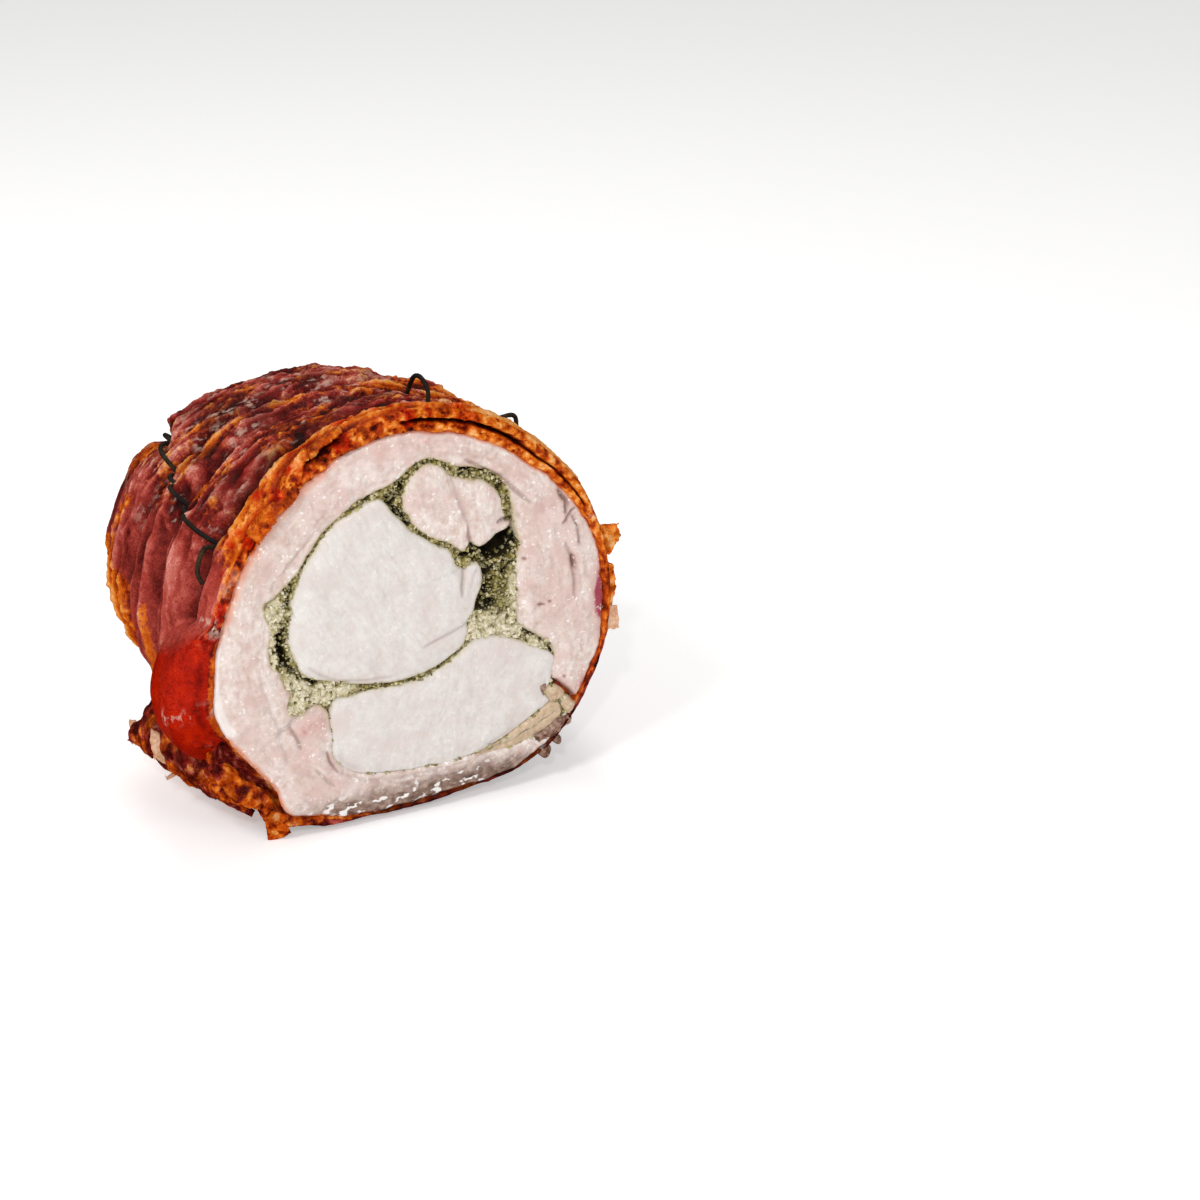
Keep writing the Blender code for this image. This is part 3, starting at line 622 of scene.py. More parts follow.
def makeHerbPaint():
    # olive crumbs, painted darker the deeper they lie, nearly black in the gaps as painted shade, greenish
    # cream where the crumb is dry
    paint, tree, shader = newPaint("herbCrumb", 0.75, specular=0.35)
    fine = speckle(tree, 0.7, 3.0)
    tone = weighted(tree, (maskOf(tree, "relief"), 0.7), (fine, 0.45))
    olive = ramp(tree, tone, ((0.12, "#0A0501"), (0.36, "#2E2406"), (0.56, "#625618"), (0.76, "#9A8C46"),
                              (1.0, "#CEC290")))
    cream = ramp(tree, tone, ((0.10, "#463C16"), (0.32, "#A0935C"), (0.54, "#D0C6A0"), (0.9, "#EAE2CC")))
    tree.links.new(layered(tree, olive, (maskOf(tree, "cream"), cream)), shader.inputs["Base Color"])
    addBump(tree, shader, fine, 0.0006, 0.8)
    return paint


def makeFatPaint(name, stops, roughness=0.35):
    # soft glistening fat, mottled by two sizes of noise
    paint, tree, shader = newPaint(name, roughness, coat=0.4, coatRoughness=0.15)
    fine = speckle(tree, 1.2, 3.0)
    tone = weighted(tree, (fine, 0.5), (speckle(tree, 5.0, 3.0), 0.5))
    tree.links.new(ramp(tree, tone, stops), shader.inputs["Base Color"])
    shader.inputs["Subsurface Weight"].default_value = 0.15
    shader.inputs["Subsurface Scale"].default_value = 0.002
    addBump(tree, shader, fine, 0.0005, 0.6)
    return paint


def makeTwinePaint():
    # browned twine, nearly black in places
    paint, tree, shader = newPaint("charredTwine", 0.8, specular=0.3)
    fine = speckle(tree, 0.6, 3.0)
    tone = weighted(tree, (fine, 0.5), (speckle(tree, 8.0, 2.0), 0.5))
    colour = ramp(tree, tone, ((0.3, "#0A0603"), (0.5, "#1E150A"), (0.7, "#4A3A20")))
    tree.links.new(colour, shader.inputs["Base Color"])
    addBump(tree, shader, fine, 0.0003, 0.8)
    return paint


skinPaint = makeSkinPaint()
outerMeatPaint = makeMeatPaint("outerMeat", "#E8DCD5", "#CDB2A7", 0.7)
filletPaint = makeMeatPaint("filletMeat", "#E2DDD9", "#D6CCC6", 0.3)
herbPaint = makeHerbPaint()
fatPaint = makeFatPaint("softFat", ((0.3, "#B8987A"), (0.6, "#D8C0A2")))
stewPaint = makeFatPaint("stewedBits", ((0.34, "#22120A"), (0.45, "#6A4634"), (0.60, "#AC8C7C")), 0.3)
scrapPaint = makeFatPaint("paleScraps", ((0.3, "#AC704A"), (0.48, "#D09C76"), (0.65, "#E6C0A2")), 0.45)
twinePaint = makeTwinePaint()
print("materials ready")

skinLook = {
    "columns": 520,
    "bodyStep": 0.62,
    "endRows": 34,
    "wrinkle": 0.75,       # mm, long wrinkles that run round the roll
    "blister": 0.55,
    "pore": 0.5,
    "grit": 0.22,
    # spots of another colour on top: angle, place, half size round the roll and along it, orange, char
    "spots": ((126.0, 15.5, 8.0, 4.0, -0.1, 0.55), (139.0, 18.0, 5.0, 4.5, -0.1, 0.4),
              (93.0, 56.0, 8.0, 6.0, -0.2, 0.5), (93.0, 27.0, 7.0, 5.0, -0.2, 0.45),
              (119.0, 55.0, 7.0, 6.0, -0.1, 0.35), (78.0, 45.0, 7.0, 6.0, 0.55, 0.0),
              (143.0, 79.0, 9.0, 9.0, 0.6, 0.0), (158.0, 76.0, 6.0, 6.0, 0.4, 0.0),
              (126.0, 66.0, 5.0, 4.0, 0.45, 0.0), (108.0, 44.0, 5.0, 4.0, 0.4, 0.0)),
    # rings of the shell's inner wall: place, size
    "innerRings": ((99.0, 0.22), (92.0, 0.58), (78.0, 0.84), (60.0, 0.89), (30.0, 0.91), (8.0, 0.92)),
}
rimLook = {
    # gaps under folds of the rim, pushed back and painted dark as painted shade: from angle, to angle, depth,
    # place across the skin, width
    "gaps": ((24.0, 62.0, 2.6, 0.44, 0.05), (54.0, 94.0, 3.4, 0.50, 0.07), (108.0, 123.0, 5.0, 0.80, 0.09),
             (126.0, 152.0, 1.2, 0.30, 0.08), (176.0, 200.0, 1.0, 0.35, 0.10)),
}


def visibleAngles(count):
    # angles round the roll, about twice as close together where the photographed side shows
    even = np.linspace(0.0, 360.0, 721)
    density = 1.0 + 1.3 * band(even, 10.0, 40.0, 236.0, 262.0)
    total = np.concatenate([[0.0], np.cumsum((density[1:] + density[:-1]) / 2.0)])
    return np.interp(np.linspace(0.0, total[-1], count, endpoint=False), total, even)


def skinMasks(angle, place, points):
    # where the crust is orange, mauve, charred, pale or shiny: bands and spots on the angle and the place
    top = band(angle, 28.0, 60.0, 150.0, 172.0)
    rimBand = smoothStep(12.5, 7.0, place)
    stretched = pointsAt(0.5 * points[..., 0], place, 0.5 * points[..., 2])
    blotch = layeredNoise(stretched, 9.0, 4, 2.0)
    orange = 0.16 + 0.42 * blotch
    top = top * (1.0 - 0.5 * smoothStep(140.0, 152.0, angle) * smoothStep(4.0, 8.0, place))
    right = smoothStep(52.0, 34.0, np.abs((angle + 165.0) % 360.0 - 180.0))
    orange = orange + 0.75 * np.maximum(top, 0.8 * right) * rimBand
    orange = orange + 0.5 * band(angle, 20.0, 34.0, 50.0, 80.0)
    leftStrip = band(angle, 150.0, 160.0, 192.0, 204.0)
    orange = orange - leftStrip * 0.5 * band(place, 1.0, 2.5, 11.0, 14.0)
    # the rough crust far back on the left, its border broken by noise
    ragged = angle + 17.0 * layeredNoise(points, 11.0, 3, 61.0)
    farCrust = band(ragged, 163.0, 184.0, 222.0, 244.0)
    farCrust = farCrust * smoothStep(47.0, 58.0, place + 5.0 * noise(points, 9.0, 62.0))
    orange = orange + 0.85 * farCrust
    # orange on the crests of the folds and in wisps on top
    crests = sum(bell(place - at, 2.6) for at in (11.0, 23.0, 31.0, 41.0, 49.0, 57.5))
    crests = crests * (0.4 + 0.6 * smoothStep(-0.2, 0.5, noise(points, 15.0, 27.0)))
    edges = smoothStep(0.25, 0.55, ridgeNoise(points, place))
    onTop = band(angle, 56.0, 76.0, 138.0, 156.0)
    wisps = edges * smoothStep(-0.1, 0.5, blotch) * smoothStep(-0.3, 0.4, noise(points, 4.0, 44.0))
    orange = orange + onTop * (0.24 * crests + 0.40 * wisps)
    corner = bell(place - 46.5, 3.5) * band(angle, 104.0, 118.0, 148.0, 158.0)
    orange = orange + 0.5 * corner * (0.5 + smoothStep(-0.2, 0.4, blotch))
    orange = orange + 0.7 * top * bell(place - 1.0, 4.5) * smoothStep(84.0, 60.0, angle)
    streak = bell(place - 38.0, 2.0) * band(angle, 168.0, 176.0, 196.0, 206.0)
    orange = orange + 0.8 * streak
    skirt = band(angle, 214.0, 226.0, 236.0, 250.0)
    orange = orange + 0.5 * skirt
    pleated = band(angle, 148.0, 160.0, 206.0, 216.0) * smoothStep(11.0, 14.0, place)
    orange = orange - 0.45 * pleated * (1.0 - farCrust) * (1.0 - streak)
    # the fold low on the left is red below and rosy above, the rosy top a painted highlight; the very edge of
    # the rim is red and rosy too, and the pleats are painted rosy on their crests, a painted highlight
    inLobe = lobeShare(angle, place)
    lobe = smoothStep(1.25, 1.02, inLobe)
    rosy = 0.85 * leftStrip * smoothStep(14.0, 11.0, place)
    rosy = rosy + pleated * (0.25 + 0.75 * pleatRise(place) ** 2)
    rosy = rosy * (1.0 - lobe) + 0.95 * lobe * smoothStep(-3.0, -15.0, besideFold(angle, place))
    lobe = lobe * (1.0 - 0.8 * smoothStep(-5.0, -17.0, besideFold(angle, place)))
    warm = top * rimBand * smoothStep(56.0, 80.0, angle) * (0.42 + 0.5 * layeredNoise(points, 5.0, 3, 35.0))
    lobe = np.maximum(lobe, np.clip(warm, 0.0, 1.0))
    atEdge = band(angle, 126.0, 172.0, 192.0, 204.0)
    reddened = atEdge * (0.55 + 0.5 * noise(points, 7.0, 33.0))
    lobe = np.maximum(lobe, reddened * smoothStep(4.4, 1.6, place))
    # darker underneath; painted shade in the grooves, in the valley behind the rim and on the lower side of
    # the fold; charred in the baked spots on top
    underside = band(angle, 246.0, 262.0, 318.0, 336.0)
    char = 0.75 * underside + 0.9 * skirt * bell(place - 12.0, 9.0)
    inGroove = np.clip(tieDepth(angle, np.minimum(place, roll["bodyLength"])) / 4.0, 0.0, 1.0)
    valleys = bell(place - 11.8, 2.4) * band(angle, 112.0, 124.0, 152.0, 162.0)
    baked = smoothStep(0.05, 0.5, noise(points, 13.0, 52.0)) * onTop * smoothStep(9.0, 13.0, place)
    # painted shade on the lower side of the fold
    lowLobe = lobe * smoothStep(2.0, 14.0, besideFold(angle, place)) * smoothStep(1.25, 1.02, inLobe)
    char = char + 0.9 * smoothStep(0.3, 0.95, inGroove) + 0.55 * valleys + 0.45 * baked + 0.3 * lowLobe
    broken = 0.6 + 0.8 * smoothStep(-0.3, 0.4, blotch)
    for middle, at, wide, long, moreOrange, moreChar in skinLook["spots"]:
        spot = bell(angle - middle, wide) * bell(place - at, long) * broken
        orange = orange + moreOrange * spot
        char = char + moreChar * spot
    char = np.clip(char, 0.0, 1.0)
    # painted highlights: pale glint streaks on top and glints on the left; and the pale torn edge of the fold
    pale = smoothStep(0.15, 0.6, layeredNoise(stretched, 5.0, 3, 31.0)) * smoothStep(60.0, 90.0, angle)
    pale = 0.62 * pale * smoothStep(165.0, 150.0, angle) * smoothStep(9.0, 14.0, place)
    glints = bell(angle - 191.5, 1.5) * bell(place - 7.0, 2.2)
    torn = bell(inLobe - 1.0, 0.10) * smoothStep(-6.0, -12.0, besideFold(angle, place))
    torn = torn * smoothStep(15.0, 9.0, place)
    pale = pale + torn + 0.9 * glints + 0.35 * leftStrip * smoothStep(2.2, 1.2, place)
    gloss = np.clip(0.35 + 0.4 * layeredNoise(points, 14.0, 2, 5.0) + 0.3 * lobe, 0.0, 0.8)
    return {"orange": np.clip(orange, 0.0, 1.2), "lobe": lobe, "char": char, "pale": pale, "gloss": gloss,
            "rosy": np.clip(rosy, 0.0, 1.0), "crust": farCrust}


def warpedSkin(points, place):
    # the skin's points with their place along the roll for their depth, pushed about by noise
    unrolled = pointsAt(points[..., 0], place, points[..., 2])
    return unrolled + 1.8 * noise(unrolled, 9.0, 3.0)[..., None]


def ridgeNoise(points, place):
    # sharp crests of long folds that run round the roll, about -0.4 to 0.6
    warped = warpedSkin(points, place)
    return (1.0 - np.abs(noise(warped * (0.22, 1.0, 0.22), 3.6, 8.0))) ** 3 - 0.4


def skinRelief(angle, place, points, masks):
    # long wrinkles, blisters, pores and grit, each in its own part of the skin; the second result is the
    # relief that the paint follows, painted shade in the hollows and painted highlight on the crests
    smooth = smoothStep(1.05, 0.85, lobeShare(angle, place))
    pleated = band(angle, 146.0, 160.0, 206.0, 218.0) * smoothStep(2.0, 4.0, place)
    pleated = pleated * (1.0 - masks["crust"])
    upperRight = band(angle, 10.0, 26.0, 62.0, 82.0) * smoothStep(12.0, 6.0, place)
    rough = (1.0 - 0.92 * smooth) * (1.0 - 0.68 * pleated) * (1.0 - 0.5 * upperRight)
    streaks = layeredNoise(warpedSkin(points, place) * (0.26, 1.0, 0.26), 2.6, 4, 1.0)
    wrinkle = skinLook["wrinkle"] * rough * (streaks + 1.4 * ridgeNoise(points, place))
    near, number = cellNoise(points * (0.8, 1.1, 0.8), 2.6, 4.0)
    blister = skinLook["blister"] * rough * smoothStep(0.55, 0.15, near) * smoothStep(0.35, 0.8, number)
    hole, which = cellNoise(points, 2.1, 13.0)
    holes = smoothStep(0.30, 0.12, hole) * smoothStep(0.5, 0.56, which)
    pores = -skinLook["pore"] * 1.6 * holes * np.clip(masks["orange"], 0.15, 1.0) * rough
    sandy = 0.5 + np.clip(masks["orange"], 0.0, 1.0)
    grit = skinLook["grit"] * rough * layeredNoise(points, 0.95, 2, 6.0) * sandy
    swell = 0.9 * layeredNoise(points, 13.0, 2, 21.0) * (1.0 - 0.4 * smooth)
    broad = 0.5 * noise(points, 24.0, 51.0) * band(angle, 60.0, 80.0, 140.0, 158.0)
    lumps = 0.9 * masks["crust"] * (0.6 - cellNoise(points, 2.4, 23.0)[0])
    shadedRelief = 1.15 * wrinkle + blister + grit + 1.4 * pores + 1.2 * lumps + 0.5 * swell + broad
    # the pleats painted lighter on their crests and darker in their troughs: painted highlight and painted
    # shade
    pleats = leftSide(angle) * (pleatRise(place) - 0.35) * (1.0 - smooth)
    shadedRelief = shadedRelief + 0.9 * pleats * smoothStep(5.0, 9.0, place)
    far = band(angle, 128.0, 145.0, 190.0, 205.0) * smoothStep(50.0, 56.0, place)
    shadedRelief = shadedRelief + 0.75 * upperRight + 0.15 * far * (1.0 - masks["crust"])
    return wrinkle + blister + pores + grit + lumps + swell * smoothStep(2.0, 8.0, place), shadedRelief


def makeSkin():
    # one closed shell: up the inside from a pole, over the cut rim, back along the outside to the far pole
    angle = visibleAngles(skinLook["columns"])
    turn = np.radians(angle)
    body = np.arange(1.2, roll["bodyLength"], skinLook["bodyStep"])
    end = roll["bodyLength"] + roll["endDepth"] * np.linspace(0.0, 1.0, skinLook["endRows"] + 1)[:-1] ** 0.9
    places = np.concatenate([body, end])
    a, p = np.meshgrid(angle, places)
    rounding = 4.2 * lobeAtRim(angle)
    p = p + rounding * smoothStep(26.0, 0.0, p)
    base = outerPoint(a, p)
    masks = skinMasks(a, p, base)
    lift, relief = skinRelief(a, p, base, masks)
    lift = lift * band(p, 0.0, 3.0, 96.0, 100.0)
    under = band(a, 238.0, 256.0, 290.0, 312.0)
    lift = lift * (1.0 - 0.85 * under) - 2.2 * under * smoothStep(12.0, 3.0, p)
    outer = outerPoint(a, p, lift)
    rimOuter = outerPoint(angle, p[0], lift[0])
    radius = np.hypot(rimOuter[:, 0], rimOuter[:, 2] - roll["faceCentre"])
    share = np.concatenate([[-0.25, -0.08], np.linspace(0.02, 0.97, 26)])[:, None]
    rimRadius = meatRadius(angle) + share * (radius - meatRadius(angle))
    flat = pointsAt(rimRadius * np.cos(turn), 0.0, rimRadius * np.sin(turn))
    gap = sum(deep * band(angle, first, first + 5.0, last - 6.0, last) * bell(share - at, wide)
              for first, last, deep, at, wide in rimLook["gaps"])
    overhang = band(angle, 20.0, 34.0, 92.0, 99.0) * smoothStep(0.55, 0.68, share)
    hollow = band(angle, 200.0, 204.0, 226.0, 231.0)
    spongy = band(angle, 36.0, 60.0, 150.0, 160.0)
    hole, number = cellNoise(flat, 1.3, 5.0)
    holes = smoothStep(0.34, 0.14, hole) * smoothStep(0.4, 0.5, number)
    rimBack = 0.9 * (np.abs(share - 0.45) / 0.5) ** 4 - 0.35 - 0.8 * overhang
    rimBack = rimBack + gap + hollow * 4.2 * bell(share - 0.45, 0.38)
    rimBack = rimBack + (0.30 + 0.35 * spongy) * layeredNoise(flat, 1.9, 3, 4.0) + 0.8 * spongy * holes
    atLobe = lobeAtRim(angle)
    rimBack = rimBack * (1.0 - atLobe) + atLobe * (5.2 * np.maximum(share, 0.0) ** 2.2 - 0.2)
    rimBack[0], rimBack[1] = 3.0, 1.3
    rim = pointsAt(flat[..., 0], rimBack, roll["faceCentre"] + flat[..., 2])
    inner = []
    for place, shrink in skinLook["innerRings"]:
        ring = outerPoint(angle, min(place, roll["bodyLength"]), -5.0, tied=False)
        ring = ring * (shrink, 0.0, shrink) + (0.0, place - 6.0, roll["faceCentre"] * (1.0 - shrink))
        inner.append(ring)
    rings = np.concatenate([np.array(inner), rim, outer])
    early = len(inner) + len(rim)
    full = {key: np.vstack([np.repeat(value[:1], early, axis=0), value]) for key, value in masks.items()}
    full["relief"] = np.vstack([np.repeat(relief[:1], early, axis=0), relief])
    rimRows = slice(len(inner), early)
    bright = band(angle, 2.0, 24.0, 70.0, 90.0)
    rough = (1.0 - 0.85 * atLobe) * layeredNoise(rim, 2.2, 3, 8.0) - 0.9 * spongy * holes
    rough = rough + (0.5 - 0.3 * atLobe) * noise(rim, 6.0, 18.0)
    # painted shade: the rim darker in the gaps under its folds and in the hollow beside the fold
    full["relief"][rimRows] = rough - 0.4 * np.minimum(gap, 2.0) + 0.35 * bright
    burntAndShaded = full["char"][rimRows] + 0.3 * hollow + smoothStep(0.8, 2.4, gap)
    full["char"][rimRows] = np.clip(burntAndShaded, 0.0, 1.0)
    full["rosy"][rimRows] = 0.0
    full["orange"][rimRows] = np.maximum(full["orange"][rimRows], smoothStep(0.25, 0.0, share))
    full["lobe"][rimRows] = full["lobe"][rimRows] * smoothStep(0.02, 0.3, share)
    full["relief"] = np.clip(0.50 + 0.50 * full["relief"], 0.0, 1.0)
    full = {key: withPoles(value) for key, value in full.items()}
    buildPiece("roastedSkinShell", *closedRings(rings), full, skinPaint, "roasted_skin",
               ("rolled_wrap_with_skin",))


makeSkin()

outlines = {
    # edge of the rolled meat round the stuffing and the fillets
    "cavity": ((44.4, 40.5), (42.8, 43.4), (40.8, 45.6), (36.6, 48.7), (33.4, 51.0), (31.7, 54.4),
               (32.0, 60.0), (31.7, 66.0), (32.2, 71.5), (33.3, 76.0), (32.6, 79.6), (31.7, 83.0),
               (31.0, 88.4), (29.8, 93.2),
               (27.0, 97.0), (23.0, 99.7), (18.0, 101.6), (13.4, 102.2), (10.0, 104.4), (5.5, 106.1),
               (1.0, 104.9), (-2.4, 102.4), (-6.0, 100.5), (-10.0, 99.3), (-14.4, 97.8), (-18.5, 95.5),
               (-24.0, 92.0), (-28.4, 88.2), (-31.2, 84.3), (-34.6, 80.1), (-38.2, 76.8), (-41.0, 74.0),
               (-44.4, 72.4), (-44.2, 69.0), (-42.8, 64.6), (-43.8, 59.0), (-43.4, 54.2), (-40.9, 51.6),
               (-39.4, 47.4), (-38.0, 44.4), (-38.8, 40.6), (-37.4, 38.0), (-34.8, 38.0), (-33.2, 39.9),
               (-30.0, 39.9), (-27.2, 37.0), (-26.4, 33.0), (-26.2, 26.0), (-24.8, 21.0), (-19.4, 16.8),
               (-12.0, 14.8), (0.0, 13.8), (12.0, 13.7), (20.0, 14.2), (28.0, 14.0), (36.0, 15.6),
               (42.0, 18.0), (47.2, 20.4), (49.6, 23.4), (47.2, 27.4), (43.6, 31.4), (43.6, 35.6),
               (44.4, 38.4)),
    "breast": ((-9.4, 96.8), (-7.4, 94.8), (-5.6, 92.2), (-2.9, 89.2), (-0.6, 86.6), (3.0, 83.7), (7.6, 80.3),
               (11.0, 78.6), (12.8, 76.2), (13.4, 73.6), (15.4, 72.4), (17.4, 73.0), (19.8, 73.0),
               (21.2, 70.6), (21.4, 66.6), (19.6, 62.0), (18.6, 58.4), (16.6, 55.8), (16.8, 52.4),
               (15.2, 48.9), (11.4, 46.2), (7.2, 44.2), (3.0, 42.7), (-2.0, 41.9), (-8.0, 41.8),
               (-14.0, 42.7), (-20.0, 43.9), (-26.0, 45.9), (-31.0, 47.5), (-34.6, 49.9),
               (-36.2, 53.4), (-38.0, 58.4), (-38.3, 63.0), (-37.4, 69.4),
               (-36.1, 74.3), (-33.9, 79.3), (-30.8, 83.3), (-27.6, 87.8), (-23.3, 91.8), (-18.1, 94.4),
               (-13.2, 96.5)),
    "tenderloin": ((-2.9, 95.2), (-2.2, 98.0), (-0.6, 101.0), (1.8, 103.3), (5.6, 104.6), (9.4, 103.2),
                   (12.2, 100.2), (15.0, 99.2), (18.6, 98.0), (22.4, 97.0), (26.0, 94.0), (28.2, 90.2),
                   (28.6, 86.6), (30.6, 83.4), (29.6, 81.6), (26.4, 80.4), (23.6, 78.4), (20.8, 77.5),
                   (18.0, 79.0), (16.0, 76.9), (13.8, 78.0), (11.0, 80.4), (7.0, 82.0), (2.6, 85.2),
                   (0.4, 87.4), (-1.0, 90.4), (-2.6, 92.6)),
    "lower": ((-25.2, 40.5), (-26.5, 35.0), (-26.4, 28.0), (-25.6, 22.6), (-22.0, 18.2), (-16.0, 15.6),
              (-6.0, 14.2), (4.0, 13.5), (13.0, 13.5), (20.0, 14.5), (26.6, 16.8), (33.0, 20.0),
              (39.0, 23.3), (42.9, 25.8), (41.0, 28.6), (43.0, 31.4), (43.9, 35.4), (44.6, 38.6),
              (42.9, 40.9), (39.6, 43.3), (35.4, 45.6), (30.4, 48.0), (25.0, 50.2), (19.6, 50.2),
              (16.0, 48.2), (12.0, 45.3), (7.0, 43.0), (1.0, 41.0), (-8.0, 40.9), (-14.0, 41.1),
              (-19.0, 40.6)),
    "fatStrip": ((18.0, 13.7), (26.0, 16.4), (33.0, 19.8), (39.0, 23.0), (43.4, 25.4), (45.6, 24.6),
                 (46.5, 22.2), (45.6, 20.0), (41.0, 17.2), (35.0, 15.0), (27.0, 13.4)),
}

faceLook = {
    # cracks and creases of the outer meat: path of (across, up), half width, depth, and redness, which also
    # sets the painted shade in the crease
    "creases": (
        (((16.7, 104.1), (22.5, 100.2), (27.7, 97.1), (30.8, 93.9), (34.0, 90.7), (36.4, 88.4)),
         0.6, 0.9, 0.5),
        (((45.8, 90.2), (47.3, 87.9), (48.7, 86.3), (48.1, 83.3)), 0.7, 1.6, 0.9),
        (((51.2, 83.9), (49.1, 82.2), (46.8, 80.2)), 0.4, 1.0, 0.8),
        (((49.9, 82.0), (51.8, 78.8), (52.2, 75.2), (52.4, 72.5)), 0.35, 0.9, 0.7),
        (((47.8, 73.9), (49.4, 70.5), (50.0, 66.5), (50.7, 62.0), (50.8, 56.9)), 0.6, 1.0, 0.4),
        (((-39.9, 80.1), (-37.6, 81.9), (-34.0, 85.3), (-30.1, 89.8), (-27.0, 91.8)), 0.6, 0.5, 0.15),
        (((-47.2, 52.0), (-44.7, 44.1), (-42.1, 35.1), (-40.1, 24.5)), 0.8, 0.6, 0.1),
        (((-28.0, 24.9), (-27.1, 21.6), (-25.2, 18.4)), 0.4, 0.9, 0.6),
        (((-31.7, 20.6), (-29.0, 17.0), (-26.4, 14.3)), 0.5, 0.9, 0.3),
        (((42.0, 32.6), (44.6, 31.0), (47.0, 28.6), (49.2, 26.6), (51.4, 24.2)), 0.85, 5.0, 1.4),
        (((-24.0, 17.6), (-16.0, 13.4), (-6.0, 11.8), (6.0, 11.6), (18.0, 12.8)), 0.6, 0.5, 0.1),
        (((-39.5, 36.0), (-37.0, 31.0), (-36.0, 28.0)), 0.4, 0.3, 0.7),
        (((49.8, 70.2), (50.4, 68.0), (50.9, 65.8)), 0.55, 2.2, 1.4),
        # small red specks
        (((-61.6, 42.6), (-61.0, 40.8)), 0.5, 0.3, 1.4), (((-26.2, 32.8), (-25.8, 32.2)), 0.4, 0.3, 1.4),
        (((34.3, 71.8), (34.9, 71.3)), 0.35, 0.3, 1.4), (((38.6, 56.9), (40.6, 56.6)), 0.35, 0.3, 1.4),
        (((42.2, 57.4), (42.8, 57.0)), 0.35, 0.3, 1.2), (((47.0, 32.9), (47.6, 32.5)), 0.35, 0.3, 1.2),
    ),
    # pink patches: across, up, size across, size up, strength; the wide one along the top, at up 111, is
    # pinker and also darker as painted shade
    "pink": ((-32.0, 34.0, 6.0, 5.0, 0.9), (-35.0, 26.0, 5.0, 6.0, 0.6), (30.0, 98.0, 10.0, 4.0, 0.5),
             (40.0, 84.0, 7.0, 9.0, 0.45), (44.0, 58.0, 6.0, 10.0, 0.5), (-44.0, 84.0, 6.0, 6.0, 0.3),
             (-50.0, 46.0, 4.0, 9.0, 0.3), (0.0, 111.0, 26.0, 5.0, 0.45), (37.0, 70.0, 4.0, 8.0, 0.35),
             (60.4, 56.0, 3.6, 9.0, 2.4), (54.0, 29.0, 3.4, 3.0, 1.3), (-28.0, 100.0, 12.0, 8.0, 0.3),
             (-52.0, 30.0, 8.0, 12.0, 0.35), (-30.0, 14.0, 12.0, 6.0, 0.35), (48.0, 78.0, 5.0, 14.0, 0.4)),
}


def paintFace(x, z, creases):
    # masks of a cut face: pink patches, and creases with their depth, redness and painted shade
    pink = np.zeros(np.shape(x))
    for across, up, wide, tall, amount in faceLook["pink"]:
        pink = np.maximum(pink, amount * np.exp(-((x - across) / wide) ** 2 - ((z - up) / tall) ** 2))
    shade = np.zeros(np.shape(x))
    groove = np.zeros(np.shape(x))
    for path, width, depth, rednessAndShade in creases:
        distance, share = pathDistance(x, z, path)
        taper = np.clip(4.0 * share * (1.0 - share) + 0.25, 0.0, 1.0)
        width = width * (0.5 + 0.5 * taper)
        groove = np.maximum(groove, depth * taper * bell(distance, width))
        shade = np.maximum(shade, min(rednessAndShade, 1.0) * bell(distance, width * 1.3))
        pink = np.maximum(pink, 0.5 * rednessAndShade * bell(distance, width * 4.0))
    return pink, shade, groove


